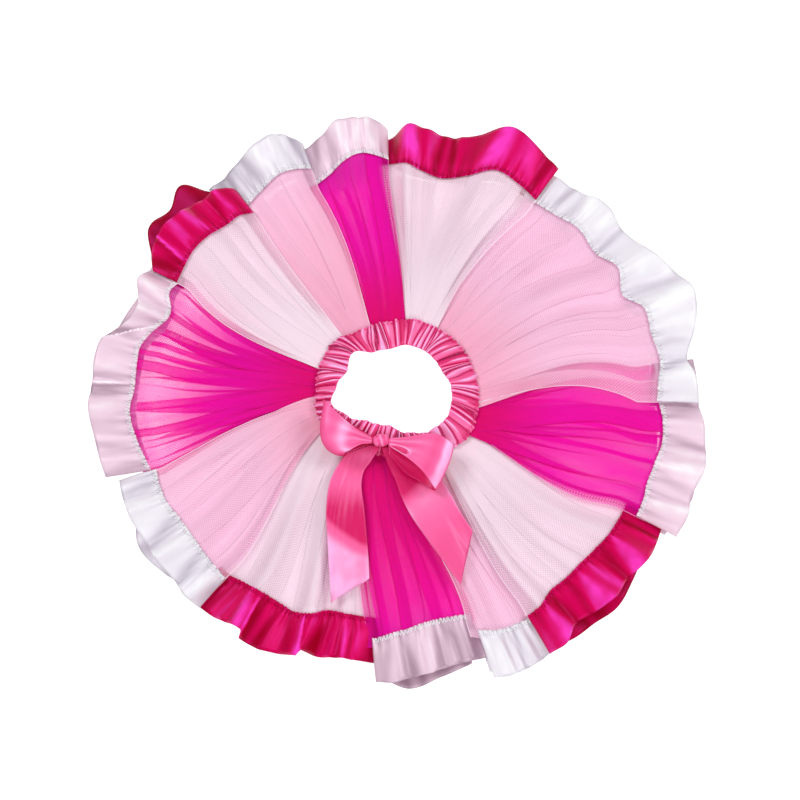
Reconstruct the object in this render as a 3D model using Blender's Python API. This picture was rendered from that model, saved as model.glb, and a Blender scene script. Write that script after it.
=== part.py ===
"""Ribbon-trimmed tulle tutu skirt, laid out flat in a ring around its open waist.

A gathered satin waistband carries two layers of twelve tulle panels. Each panel ends in a satin
ribbon ruffle, and a bow sits on the front of the band. The tables and sizes are in millimetres
and degrees; meshes are turned into metres as they are made. Turns run counterclockwise from +X
seen from above, and the front with its bow faces -Y. A reach is a plan distance from the middle
of the waist.
"""

import math
from collections import namedtuple

import bmesh
import bpy
from mathutils import Vector

MILLIMETRE = 0.001

WAIST_X = -1.4
WAIST_Y = -6.5

CLOTH_WALL = 1.0
CLOTH_GAP = 0.35
SIDE_GAP = 0.6
RIBBON_GAP = 0.45
HEM_MARGIN = 8.0

# Waistband: a flattened satin tube round an elastic, with its outer rim at one height.
BAND_RIM_HEIGHT = 26.0
BAND_HALF_THICKNESS = 2.5
BAND_GATHERS = 60
POINTS_PER_GATHER = 4
BAND_SECTION_POINTS = 7
GATHER_DEPTH = 1.5
GATHER_PINCH = 0.04
TUCK_UNDER_BAND = 3.0

# Gathers drift from even spacing: by how many gathers, in how many waves round the band, from where.
Drift = namedtuple("Drift", "gathers waves start")
GATHER_DRIFTS = (Drift(0.25, 7, 0), Drift(0.2, 17, 40))

BandSection = namedtuple("BandSection", "turn inner outer inner_height")
BAND_SECTIONS = (
    BandSection(0, 55, 84, 38),
    BandSection(22, 49, 82, 37),
    BandSection(45, 49, 82, 36),
    BandSection(72, 48, 81, 34),
    BandSection(98, 42, 76, 34),
    BandSection(118, 43, 75, 36),
    BandSection(140, 55, 82, 40),
    BandSection(160, 50, 81, 38),
    BandSection(178, 57, 79, 40),
    BandSection(196, 65, 81, 42),
    BandSection(215, 55, 77, 42),
    BandSection(235, 44, 72, 41),
    BandSection(262, 40, 70, 40),
    BandSection(285, 49, 74, 40),
    BandSection(307, 57, 82, 40),
    BandSection(330, 59, 88, 38),
    BandSection(345, 57, 86, 38),
)

# Lines between neighbouring panels: their turns at the waist, half way and at the hem, which
# panel of the outer layer lies on top there, and how far the other one is tucked under it.
WAIST_STATION = 80.0
MIDDLE_STATION = 150.0
FLAT_REACH = 215.0
WAIST_TUCK = 2.0

Seam = namedtuple("Seam", "waist middle hem on_top tuck")
SEAMS = (
    Seam(-8, 2, -1.5, "next", 5.0),
    Seam(60, 60, 56, "next", 3.0),
    Seam(83.5, 88, 91.5, "next", 3.0),
    Seam(109.5, 107, 109, "next", 4.0),
    Seam(131.5, 128.5, 126, "next", 4.0),
    Seam(162, 159, 151, "previous", 3.5),
    Seam(187, 192, 198, "next", 3.0),
    Seam(205, 222, 229, "previous", 3.0),
    Seam(251, 260, 265, "next", 3.0),
    Seam(262, 278, 286.5, "next", 3.0),
    Seam(301, 298.5, 299.5, "next", 3.0),
    Seam(331, 328, 332, "next", 3.0),
)

# Ruffle waves of each panel: at a turn of the hem, the reach of the ribbon's gathered edge, the
# reach of its free edge and how high the free edge is lifted. Tucked ends lie flat.
Wave = namedtuple("Wave", "turn gathered free lift")
OUTER_WAVES = (
    (
        Wave(-1.5, 262, 304, 4), Wave(3, 264, 302, 14), Wave(8, 270, 298, 2),
        Wave(14, 267, 314, 10), Wave(20, 268, 323, 18), Wave(25, 257, 319, 4),
        Wave(31, 266, 304, 16), Wave(37, 260, 299, 3), Wave(44, 262, 302, 16),
        Wave(50, 261, 298, 4), Wave(56, 261, 299, 0),
    ),
    (
        Wave(56, 262, 306, 2), Wave(61, 266, 312, 10), Wave(67, 267, 319, 20),
        Wave(73, 255, 304, 8), Wave(79, 249, 296, 1), Wave(84, 251, 297, 14),
        Wave(87.5, 256, 297, 20), Wave(90.5, 261, 288, 2), Wave(92, 261, 287, 0),
    ),
    (
        Wave(91.5, 264, 298, 2), Wave(94, 264, 307, 17), Wave(98, 268, 310, 20),
        Wave(102, 264, 307, 14), Wave(105, 258, 298, 4), Wave(109, 251, 291, 0),
    ),
    (
        Wave(109, 268, 300, 2), Wave(112, 269, 313, 13), Wave(117, 270, 316, 18),
        Wave(121, 267, 308, 8), Wave(126, 263, 301, 0),
    ),
    (
        Wave(126, 250, 284, 3), Wave(129.5, 253, 291, 15), Wave(133, 256, 295, 6),
        Wave(138, 257, 296, 18), Wave(144, 257, 297, 22), Wave(148.5, 257, 291, 5),
        Wave(151, 256, 282, 1),
    ),
    (
        Wave(151, 256, 289, 0), Wave(154.5, 255, 291, 15), Wave(158, 246, 283, 12),
        Wave(161.5, 243, 275, 26), Wave(165, 256, 285, 12), Wave(168, 263, 301, 6),
        Wave(172, 262, 305, 13), Wave(178, 262, 305, 4), Wave(184, 265, 306, 14),
        Wave(190, 261, 302, 3), Wave(194, 258, 300, 7), Wave(198, 258, 298, 0),
    ),
    (
        Wave(198, 248, 286, 2), Wave(202, 250, 288, 7), Wave(207, 250, 289, 15),
        Wave(212, 246, 287, 4), Wave(217, 246, 288, 15), Wave(222, 247, 286, 4),
        Wave(226, 249, 290, 13), Wave(229, 250, 287, 2),
    ),
    (
        Wave(229, 244, 284, 0), Wave(233, 241, 283, 6), Wave(237, 241, 288, 20),
        Wave(242, 239, 289, 2), Wave(246, 241, 285, 3), Wave(250.5, 239, 288, 20),
        Wave(254, 229, 271, 3), Wave(259, 229, 273, 13), Wave(265, 227, 269, 0),
    ),
    (
        Wave(265, 249, 290, 2), Wave(268.5, 245, 291, 10), Wave(272, 240, 286, 5),
        Wave(276, 237, 285, 17), Wave(280, 232, 279, 4), Wave(283.5, 232, 278, 3),
        Wave(286.5, 233, 278, 0),
    ),
    (
        Wave(286.5, 248, 297, 2), Wave(290, 257, 305, 14), Wave(294, 260, 304, 4),
        Wave(297, 261, 303, 5), Wave(299.5, 261, 300, 0),
    ),
    (
        Wave(299.5, 259, 301, 2), Wave(302.5, 259, 303, 18), Wave(306.5, 251, 291, 4),
        Wave(311, 251, 294, 8), Wave(315.5, 251, 298, 18), Wave(320, 251, 294, 4),
        Wave(325, 254, 299, 16), Wave(329.5, 254, 297, 3), Wave(332, 254, 295, 0),
    ),
    (
        Wave(332, 268, 311, 2), Wave(335.5, 267, 313, 15), Wave(340, 265, 310, 4),
        Wave(345, 267, 315, 17), Wave(350, 270, 313, 4), Wave(354.5, 268, 309, 9),
        Wave(358.5, 265, 305, 0),
    ),
)
UNDER_WAVES = (
    (
        Wave(-1.5, 250, 294, 0), Wave(8, 252, 292, 3), Wave(20, 258, 304, 0),
        Wave(32, 252, 296, 3), Wave(44, 250, 294, 0), Wave(56, 250, 292, 2),
    ),
    (
        Wave(56, 252, 296, 0), Wave(65, 257, 306, 3), Wave(73, 246, 294, 0),
        Wave(80, 238, 286, 3), Wave(87, 242, 288, 0), Wave(91.5, 244, 284, 0),
    ),
    (
        Wave(91.5, 240, 284, 0), Wave(98, 243, 292, 3), Wave(104, 240, 286, 0),
        Wave(109, 236, 280, 0),
    ),
    (
        Wave(109, 254, 296, 0), Wave(116, 256, 304, 3), Wave(122, 250, 298, 0),
        Wave(126, 244, 288, 0),
    ),
    (
        Wave(126, 238, 286, 0), Wave(130.5, 248, 304, 0), Wave(133, 270, 326, 3),
        Wave(138, 270, 318, 0), Wave(144, 272, 320, 3), Wave(148, 262, 308, 0),
        Wave(151, 244, 284, 0),
    ),
    (
        Wave(151, 246, 284, 0), Wave(158, 244, 287, 3), Wave(165, 248, 293, 3),
        Wave(170, 254, 298, 0), Wave(178, 256, 299, 3), Wave(188, 252, 295, 0),
        Wave(198, 248, 288, 0),
    ),
    (
        Wave(198, 238, 280, 0), Wave(206, 243, 285, 0), Wave(211, 248, 294, 3),
        Wave(219, 244, 288, 3), Wave(224, 240, 280, 0), Wave(229, 238, 278, 0),
    ),
    (
        Wave(229, 232, 274, 0), Wave(237, 233, 285, 3), Wave(245, 226, 276, 0),
        Wave(254, 217, 263, 3), Wave(265, 217, 261, 0),
    ),
    (
        Wave(265, 236, 280, 0), Wave(271.5, 243, 294, 2), Wave(278, 240, 286, 2),
        Wave(283, 236, 281, 2), Wave(286.5, 232, 277, 0),
    ),
    (
        Wave(286.5, 246, 290, 0), Wave(293, 249, 296, 3), Wave(299.5, 248, 292, 0),
    ),
    (
        Wave(299.5, 246, 290, 0), Wave(304.5, 250, 299, 2), Wave(310, 252, 300, 0),
        Wave(315, 254, 304, 3), Wave(321, 250, 298, 2), Wave(325.5, 247, 293, 0),
        Wave(332, 246, 290, 0),
    ),
    (
        Wave(332, 256, 300, 0), Wave(337, 259, 307, 2), Wave(340.5, 262, 312, 3),
        Wave(345, 260, 308, 0), Wave(352, 257, 302, 3), Wave(358.5, 254, 296, 0),
    ),
)

# Heights of a layer's middle surface: at the waist and on the flat, how much it billows between,
# and the rows of its mesh as fractions of the way from the waist to the flat.
Layer = namedtuple("Layer", "name waist_height flat_height billow settled widest_step rows ribbon_rows")
OUTER = Layer("outer", 23.0, 6.5, 5.0, 1.0, 3.6, (0.0, 0.2, 0.45, 0.72, 1.0), (0.5, 1.0))
UNDER = Layer("under", 21.65, 0.5, 0.0, 0.85, 7.5, (0.0, 0.35, 0.7, 1.0), (1.0,))

# A panel that lies on its neighbour is a pitch higher there, more at the hem than at the waist, and
# comes down to its own level inside the level zone. A fold starts at the waist with a share of its
# size at the hem; the tulle has a share of the lift of the ribbon's free edge.
WAIST_PITCH = 1.6
HEM_PITCH = 3.3
PITCH_SETTLED = 0.8
LEVEL_ZONE = 0.22
FOLD_START = 0.2
FOLD_SHARE_AT_WAIST = 0.15
GATHERED_LIFT_SHARE = 0.7
RIBBON_BELLY = 1.5
SHORTEST_STEP = 0.5

# Bow, from the middle of its knot. A loop leaves the knot along its heading and is tilted to lie
# on the band; its ribbon widens from the knot to the tip.
KNOT_CENTRE = (-15.0, -63.5, 42.5)
KNOT_HALF_SIZE = (8.0, 7.0, 5.5)
KNOT_PINCH = 0.12
KNOT_SEGMENTS = 14
KNOT_RINGS = 8
LOOP_KNOT_GAP = 0.2
LOOP_ROOT_WIDTH = 12.0
LOOP_FLARE = 1.1
LOOP_ROLL = 0.5
LOOP_ARCH = 0.55
LOOP_PLY_SPACING = 2.6
LOOP_STEPS = 20
LOOP_CROSS_STEPS = 4

Loop = namedtuple("Loop", "name heading length tip_width puff slope_along slope_across")
LOOPS = (
    Loop("bow_loop_left", 164, 47, 46, 14, 0.03, 0.2),
    Loop("bow_loop_right", -21, 60, 46, 15, -0.05, 0.12),
)

# Tails: plan places of the left and right edge at each section, and the height above the skirt.
TailSection = namedtuple("TailSection", "left_x left_y right_x right_y height")
TAILS = (
    ("bow_tail_left", (
        TailSection(-22.5, -68.0, -16.2, -69.5, 13.9),
        TailSection(-39, -74.5, -25, -81.5, 6),
        TailSection(-52, -84.5, -32, -91.5, 4),
        TailSection(-62, -103.5, -34, -107.5, 5),
        TailSection(-67, -131.5, -31, -131.5, 7),
        TailSection(-66, -161.5, -28.5, -156.5, 5),
        TailSection(-63.5, -191.5, -27, -176.5, 3),
        TailSection(-61, -220.5, -26, -196.5, 2.5),
    )),
    ("bow_tail_right", (
        TailSection(-14.4, -69.5, -9.0, -68.5, 13.6),
        TailSection(-7, -87.5, 13, -80.5, 4.5),
        TailSection(-1, -100.5, 32, -88.5, 3),
        TailSection(5, -117.5, 44, -100.5, 3.5),
        TailSection(15, -137.5, 54, -117.5, 5),
        TailSection(33, -163.5, 62, -132.5, 4),
        TailSection(62, -203.5, 74, -150.5, 2.5),
    )),
)
TAIL_CROSS_STEPS = 4
TAIL_BEARING = 8.0

HOT_PINK_TULLE = ("hot_pink_tulle", (0.86, 0.01, 0.27), 0.75)
LIGHT_PINK_TULLE = ("light_pink_tulle", (1.0, 0.55, 0.73), 0.75)
WHITE_TULLE = ("white_tulle", (0.9, 0.8, 0.86), 0.75)
HOT_PINK_SATIN = ("hot_pink_satin", (0.75, 0.005, 0.21), 0.3)
LIGHT_PINK_SATIN = ("light_pink_satin", (0.93, 0.68, 0.77), 0.3)
WHITE_SATIN = ("white_satin", (0.85, 0.84, 0.88), 0.3)
PINK_SATIN = ("pink_satin", (1.0, 0.14, 0.37), 0.3)
PANEL_COLOURS = (
    (LIGHT_PINK_TULLE, WHITE_SATIN),
    (WHITE_TULLE, HOT_PINK_SATIN),
    (HOT_PINK_TULLE, LIGHT_PINK_SATIN),
)

Panel = namedtuple("Panel", "number first last waves start_tuck end_tuck start_level end_level")


def clear_scene():
    """Remove whatever the scene holds."""
    for thing in list(bpy.data.objects):
        bpy.data.objects.remove(thing, do_unlink=True)


def cloth_material(finish):
    """Return the material of a named finish, made once."""
    name, colour, roughness = finish
    material = bpy.data.materials.get(name)
    if material is None:
        material = bpy.data.materials.new(name)
        material.use_nodes = True
        shader = material.node_tree.nodes["Principled BSDF"]
        shader.inputs["Base Color"].default_value = (*colour, 1.0)
        shader.inputs["Roughness"].default_value = roughness
        shader.inputs["Metallic"].default_value = 0.0
    return material


def add_object(name, mesh_builder, finish):
    """Link a bmesh, whose points are in millimetres, as a named object in metres."""
    bmesh.ops.scale(mesh_builder, vec=(MILLIMETRE,) * 3, verts=mesh_builder.verts)
    mesh = bpy.data.meshes.new(name)
    mesh_builder.to_mesh(mesh)
    mesh_builder.free()
    mesh.shade_smooth()
    mesh.materials.append(cloth_material(finish))
    thing = bpy.data.objects.new(name, mesh)
    bpy.context.collection.objects.link(thing)
    return thing


def add_cloth(name, rows, finish):
    """Make a wall of cloth whose middle surface runs through rows of points."""
    across = len(rows[0])
    builder = bmesh.new()
    bmesh.ops.create_grid(builder, x_segments=across - 1, y_segments=len(rows) - 1, size=1.0)
    builder.verts.ensure_lookup_table()
    for index, vert in enumerate(builder.verts):
        vert.co = rows[index // across][index % across]
    bmesh.ops.recalc_face_normals(builder, faces=builder.faces)
    if sum(face.normal.z * face.calc_area() for face in builder.faces) < 0.0:
        bmesh.ops.reverse_faces(builder, faces=builder.faces)
    thing = add_object(name, builder, finish)
    wall = thing.modifiers.new("wall", "SOLIDIFY")
    wall.thickness = CLOTH_WALL * MILLIMETRE
    wall.offset = 0.0
    return thing


def smooth(fraction):
    """Ease from 0 to 1 with level ends."""
    fraction = min(max(fraction, 0.0), 1.0)
    return fraction * fraction * (3.0 - 2.0 * fraction)


def between(rows, turn, column):
    """Read a column of a table at a turn, easing from one row to the next."""
    if turn <= rows[0].turn:
        return getattr(rows[0], column)
    for low, high in zip(rows, rows[1:]):
        if turn <= high.turn:
            start = getattr(low, column)
            step = getattr(high, column) - start
            return start + step * smooth((turn - low.turn) / (high.turn - low.turn))
    return getattr(rows[-1], column)


def band_size(turn, column):
    """Read a waistband size at any turn, all the way round."""
    first = BAND_SECTIONS[0]
    return between(BAND_SECTIONS + (first._replace(turn=first.turn + 360),), turn % 360, column)


def place(turn, reach, height):
    """Return the point at a turn and reach from the middle of the waist."""
    angle = math.radians(turn)
    return Vector((WAIST_X + reach * math.cos(angle), WAIST_Y + reach * math.sin(angle), height))


def seam_turn(seam, reach):
    """Return the turn of the line between two panels, a parabola through its three stations."""
    length = FLAT_REACH - WAIST_STATION
    fraction = min(max((reach - WAIST_STATION) / length, 0.0), 1.0)
    middle = (MIDDLE_STATION - WAIST_STATION) / length
    straight = seam.hem - seam.waist
    bend = (seam.middle - seam.waist - straight * middle) / (middle * (middle - 1.0))
    return seam.waist + straight * fraction + bend * fraction * (fraction - 1.0)


def make_panels(waves_of_panels, overlapping):
    """Return the panels of a layer, tucked under their neighbours or side by side."""
    panels = []
    for index, waves in enumerate(waves_of_panels):
        first = SEAMS[index]
        last = SEAMS[(index + 1) % len(SEAMS)]
        if index + 1 == len(SEAMS):
            last = last._replace(waist=last.waist + 360, middle=last.middle + 360, hem=last.hem + 360)
        start_level = int(overlapping and first.on_top == "next")
        end_level = int(overlapping and last.on_top == "previous")
        start_tuck = first.tuck if overlapping and not start_level else 0.0
        end_tuck = last.tuck if overlapping and not end_level else 0.0
        panels.append(Panel(index + 1, first, last, waves, start_tuck, end_tuck, start_level, end_level))
    return panels


def panel_turn(panel, share, reach):
    """Return the turn at a share of the way across a panel, at a reach."""
    tuck_growth = smooth((reach - WAIST_STATION) / (FLAT_REACH - WAIST_STATION))
    start = seam_turn(panel.first, reach)
    if panel.start_tuck:
        start -= WAIST_TUCK + (panel.start_tuck - WAIST_TUCK) * tuck_growth
    end = seam_turn(panel.last, reach)
    if panel.end_tuck:
        end += WAIST_TUCK + (panel.end_tuck - WAIST_TUCK) * tuck_growth
    if not (panel.start_level or panel.end_level or panel.start_tuck or panel.end_tuck):
        half_gap = math.degrees(0.5 * SIDE_GAP / reach)
        start += half_gap
        end -= half_gap
    return start + (end - start) * share


def panel_level(panel, share):
    """Return how far a panel is raised over its neighbours, from 0 to 1."""
    fraction = smooth((share - LEVEL_ZONE) / (1.0 - 2.0 * LEVEL_ZONE))
    return panel.start_level + (panel.end_level - panel.start_level) * fraction


def cloth_height(layer, level, lift, fraction):
    """Return the height of a layer's tulle at a fraction of the way to the flat."""
    fraction = min(fraction, 1.0)
    bed = layer.waist_height + (layer.flat_height - layer.waist_height) * smooth(fraction / layer.settled)
    bed += layer.billow * math.sin(math.pi * fraction)
    pitch = WAIST_PITCH + (HEM_PITCH - WAIST_PITCH) * smooth(fraction / PITCH_SETTLED)
    growth = FOLD_SHARE_AT_WAIST + (1.0 - FOLD_SHARE_AT_WAIST) * fraction ** 2
    fold = lift * GATHERED_LIFT_SHARE * growth * smooth(fraction / FOLD_START)
    return bed + level * pitch + fold


def column_shares(layer, panel):
    """Return the shares across a panel of its mesh columns: each wave, and steps between them."""
    start = panel_turn(panel, 0.0, FLAT_REACH)
    end = panel_turn(panel, 1.0, FLAT_REACH)
    stops = [start]
    inside = (start + SHORTEST_STEP, end - SHORTEST_STEP)
    stops += [wave.turn for wave in panel.waves if inside[0] < wave.turn < inside[1]]
    stops.append(end)
    turns = []
    for low, high in zip(stops, stops[1:]):
        steps = max(1, math.ceil((high - low) / layer.widest_step))
        turns += [low + (high - low) * step / steps for step in range(steps)]
    turns.append(end)
    return [(turn - start) / (end - start) for turn in turns]


def tulle_rows(layer, panel, shares):
    """Return rows of points of a panel's tulle, from the waist to the end of its hem margin."""
    rows = []
    hem_turns = [panel_turn(panel, share, FLAT_REACH) for share in shares]
    lifts = [between(panel.waves, turn, "lift") for turn in hem_turns]
    levels = [panel_level(panel, share) for share in shares]
    for fraction in layer.rows:
        row = []
        for share, lift, level in zip(shares, lifts, levels):
            nominal = WAIST_STATION + fraction * (FLAT_REACH - WAIST_STATION)
            turn = panel_turn(panel, share, nominal)
            waist = band_size(turn, "outer") - TUCK_UNDER_BAND
            reach = waist + fraction * (FLAT_REACH - waist)
            row.append(place(turn, reach, cloth_height(layer, level, lift, fraction)))
        rows.append(row)
    for margin in (0.0, HEM_MARGIN):
        row = []
        for share, turn, lift, level in zip(shares, hem_turns, lifts, levels):
            reach = between(panel.waves, turn, "gathered") + margin
            turn = panel_turn(panel, share, reach)
            row.append(place(turn, reach, cloth_height(layer, level, lift, 1.0)))
        rows.append(row)
    return rows


def row_normals(rows, at):
    """Return the upward normals of a grid of points along one of its rows."""
    normals = []
    last = len(rows[at]) - 1
    for index in range(last + 1):
        along = rows[at][min(index + 1, last)] - rows[at][max(index - 1, 0)]
        outward = rows[min(at + 1, len(rows) - 1)][index] - rows[at - 1][index]
        normals.append(outward.cross(along).normalized())
    return normals


def ribbon_rows(layer, panel, shares, tulle):
    """Return rows of points of a panel's ribbon: over the tulle's margin, then out to its edge."""
    moved_out = CLOTH_WALL + RIBBON_GAP
    rows = []
    for at in (-2, -1):
        normals = row_normals(tulle, len(tulle) + at)
        rows.append([point + normal * moved_out for point, normal in zip(tulle[at], normals)])
    for fraction in layer.ribbon_rows:
        row = []
        for share in shares:
            turn = panel_turn(panel, share, FLAT_REACH)
            inner = between(panel.waves, turn, "gathered") + HEM_MARGIN
            reach = inner + fraction * (between(panel.waves, turn, "free") - inner)
            lift = between(panel.waves, turn, "lift")
            lift *= GATHERED_LIFT_SHARE + (1.0 - GATHERED_LIFT_SHARE) * fraction
            height = layer.flat_height + panel_level(panel, share) * HEM_PITCH + lift
            height += (moved_out + RIBBON_BELLY) * math.sin(math.pi * fraction) if fraction < 1.0 else 0.0
            row.append(place(panel_turn(panel, share, reach), reach, height))
        rows.append(row)
    return rows


def add_panels(layer, panels):
    """Make each panel's tulle and its ribbon."""
    for panel in panels:
        shares = column_shares(layer, panel)
        tulle_finish, ribbon_finish = PANEL_COLOURS[(panel.number - 1) % len(PANEL_COLOURS)]
        tulle = tulle_rows(layer, panel, shares)
        label = f"{layer.name}_{panel.number:02d}"
        add_cloth(f"tulle_{label}", tulle, tulle_finish)
        add_cloth(f"ribbon_{label}", ribbon_rows(layer, panel, shares, tulle), ribbon_finish)


def band_point(turn, around, gather):
    """Return a point of the waistband: around its section, 0 at the rim and 180 at the waist."""
    inner = band_size(turn, "inner")
    outer = band_size(turn, "outer")
    inner_height = band_size(turn, "inner_height")
    angle = math.radians(around)
    middle = Vector((0.5 * (inner + outer), 0.5 * (inner_height + BAND_RIM_HEIGHT)))
    to_rim = Vector((0.5 * (outer - inner), 0.5 * (BAND_RIM_HEIGHT - inner_height)))
    upward = Vector((-to_rim.y, to_rim.x)).normalized()
    thickness = BAND_HALF_THICKNESS
    if math.sin(angle) > 0.0:
        thickness += gather * GATHER_DEPTH
    width = 1.0 - GATHER_PINCH * gather
    point = middle + to_rim * width * math.cos(angle) + upward * thickness * math.sin(angle)
    return place(turn, point.x, point.y)


def add_waistband():
    """Make the gathered band: a torus whose sections follow the band's table."""
    steps = BAND_GATHERS * POINTS_PER_GATHER
    builder = bmesh.new()
    sections = []
    for step in range(steps):
        turn = 360.0 * step / steps
        drift = sum(
            each.gathers * math.sin(math.radians(each.waves * turn + each.start))
            for each in GATHER_DRIFTS
        )
        gather = math.cos(2.0 * math.pi * (step / POINTS_PER_GATHER + drift))
        section = []
        for corner in range(BAND_SECTION_POINTS):
            around = 360.0 * corner / BAND_SECTION_POINTS
            section.append(builder.verts.new(band_point(turn, around, gather)))
        sections.append(section)
    for step, section in enumerate(sections):
        following = sections[(step + 1) % steps]
        for corner in range(BAND_SECTION_POINTS):
            other = (corner + 1) % BAND_SECTION_POINTS
            builder.faces.new((section[corner], following[corner], following[other], section[other]))
    bmesh.ops.recalc_face_normals(builder, faces=builder.faces)
    add_object("waistband", builder, PINK_SATIN)


def add_knot():
    """Make the bow's knot, a rounded pad pinched across its middle."""
    builder = bmesh.new()
    bmesh.ops.create_uvsphere(builder, u_segments=KNOT_SEGMENTS, v_segments=KNOT_RINGS, radius=1.0)
    for vert in builder.verts:
        pinch = 1.0 - KNOT_PINCH * math.cos(math.pi * vert.co.x)
        vert.co = Vector((
            KNOT_CENTRE[0] + KNOT_HALF_SIZE[0] * vert.co.x,
            KNOT_CENTRE[1] + KNOT_HALF_SIZE[1] * vert.co.y * pinch,
            KNOT_CENTRE[2] + KNOT_HALF_SIZE[2] * vert.co.z,
        ))
    add_object("bow_knot", builder, PINK_SATIN)


def add_loop(loop):
    """Make a bow loop: a ribbon that leaves the knot, turns at its tip and comes back above."""
    heading = math.radians(loop.heading)
    along_axis = Vector((math.cos(heading), math.sin(heading), loop.slope_along))
    across_axis = Vector((-math.sin(heading), math.cos(heading), 0.0))
    if across_axis.y < 0.0:
        across_axis = -across_axis
    across_axis.z = loop.slope_across
    root = Vector(KNOT_CENTRE) + along_axis * (KNOT_HALF_SIZE[0] + LOOP_KNOT_GAP)
    rows = []
    for step in range(LOOP_STEPS + 1):
        fraction = step / LOOP_STEPS
        along = loop.length * math.sin(math.pi * fraction)
        rise = loop.puff * LOOP_ARCH * math.sin(math.pi * fraction)
        rise -= loop.puff * LOOP_ROLL * math.sin(2.0 * math.pi * fraction)
        rise += LOOP_PLY_SPACING * (fraction - 0.5)
        flare = smooth(along / loop.length * LOOP_FLARE)
        width = LOOP_ROOT_WIDTH + (loop.tip_width - LOOP_ROOT_WIDTH) * flare
        row = []
        for cross in range(LOOP_CROSS_STEPS + 1):
            offset = (cross / LOOP_CROSS_STEPS - 0.5) * width
            row.append(root + along_axis * along + across_axis * offset + Vector((0.0, 0.0, rise)))
        rows.append(row)
    add_cloth(loop.name, rows, PINK_SATIN)


def skirt_top(x, y, panels):
    """Return the height of the outer layer's middle surface, as if raised over its neighbours."""
    reach = math.hypot(x - WAIST_X, y - WAIST_Y)
    turn = math.degrees(math.atan2(y - WAIST_Y, x - WAIST_X)) % 360.0
    for panel in panels:
        start = seam_turn(panel.first, reach)
        end = seam_turn(panel.last, reach)
        if start <= turn <= end:
            break
    waist = band_size(turn, "outer") - TUCK_UNDER_BAND
    fraction = max((reach - waist) / (FLAT_REACH - waist), 0.0)
    hem_turn = panel.first.hem + (panel.last.hem - panel.first.hem) * (turn - start) / (end - start)
    return cloth_height(OUTER, 1.0, between(panel.waves, hem_turn, "lift"), fraction)


def add_tail(name, sections, panels):
    """Make a bow tail: a ribbon that falls from the knot and lies over the skirt's folds."""
    rows = []
    for section in sections:
        left = Vector((section.left_x, section.left_y))
        right = Vector((section.right_x, section.right_y))
        row = []
        for cross in range(TAIL_CROSS_STEPS + 1):
            spot = left.lerp(right, cross / TAIL_CROSS_STEPS)
            top = max(
                skirt_top(spot.x + side * TAIL_BEARING, spot.y + end * TAIL_BEARING, panels)
                for side in (-1, 0, 1) for end in (-1, 0, 1)
            )
            row.append(Vector((spot.x, spot.y, top + section.height)))
        rows.append(row)
    add_cloth(name, rows, PINK_SATIN)


def build():
    """Build the whole skirt."""
    clear_scene()
    outer_panels = make_panels(OUTER_WAVES, overlapping=True)
    add_panels(OUTER, outer_panels)
    add_panels(UNDER, make_panels(UNDER_WAVES, overlapping=False))
    add_waistband()
    add_knot()
    for loop in LOOPS:
        add_loop(loop)
    for name, sections in TAILS:
        add_tail(name, sections, outer_panels)


build()
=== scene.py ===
import math

import bmesh
import bpy
import numpy as np
from mathutils import Matrix, Vector


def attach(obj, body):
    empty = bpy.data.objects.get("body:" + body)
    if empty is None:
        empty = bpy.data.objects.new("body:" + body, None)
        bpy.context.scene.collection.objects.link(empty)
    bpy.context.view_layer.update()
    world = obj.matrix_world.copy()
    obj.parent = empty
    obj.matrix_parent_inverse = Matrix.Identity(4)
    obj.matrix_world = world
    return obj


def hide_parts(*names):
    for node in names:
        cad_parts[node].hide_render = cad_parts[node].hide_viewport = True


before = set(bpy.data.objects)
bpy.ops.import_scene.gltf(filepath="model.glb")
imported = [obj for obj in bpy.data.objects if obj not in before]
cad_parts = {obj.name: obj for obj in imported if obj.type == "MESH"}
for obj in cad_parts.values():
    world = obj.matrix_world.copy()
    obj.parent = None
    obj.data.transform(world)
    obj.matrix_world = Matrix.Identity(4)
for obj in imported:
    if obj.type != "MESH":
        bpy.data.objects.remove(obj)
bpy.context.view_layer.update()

scene = bpy.context.scene
mm = 0.001

# Turns are degrees counterclockwise from +X, reaches and heights are mm; the bow faces -Y.
skirt = {
    "waistX": -1.4, "waistY": -6.5,                  # middle of the waist
    "waistStation": 80.0, "middleStation": 150.0, "flatReach": 215.0, "seamEnd": 242.0, "hemReach": 260.0,
    "tuckUnderBand": 3.0, "deeperTuck": 0.06, "tuckRise": 3.5, "waistTuck": 2.0, "hemMargin": 8.0,
    "waistPitch": 1.6, "hemPitch": 3.3, "pitchSettled": 0.8, "levelZone": 0.22,
    "foldStart": 0.2, "foldAtWaist": 0.15, "tulleLift": 0.7, "ribbonBelly": 1.5,
}
layers = {
    "outer": {"waist": 23.0, "flat": 6.5, "billow": 5.0, "settled": 1.0},
    "under": {"waist": 21.65, "flat": 0.5, "billow": 0.0, "settled": 0.85},
}
band = {
    "turn": [0, 22, 45, 72, 98, 118, 140, 160, 178, 196, 215, 235, 262, 285, 307, 330, 345, 360],
    "inner": [55, 49, 49, 48, 42, 43, 55, 50, 57, 65, 55, 44, 40, 49, 57, 59, 57, 55],
    "outer": [84, 82, 82, 81, 76, 75, 82, 81, 79, 81, 77, 72, 70, 74, 82, 88, 86, 84],
    "innerHeight": [38, 37, 36, 34, 34, 36, 40, 38, 40, 42, 42, 41, 40, 40, 40, 38, 38, 38],
    "rimHeight": 26.0, "halfThick": 2.5,
}
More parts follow.
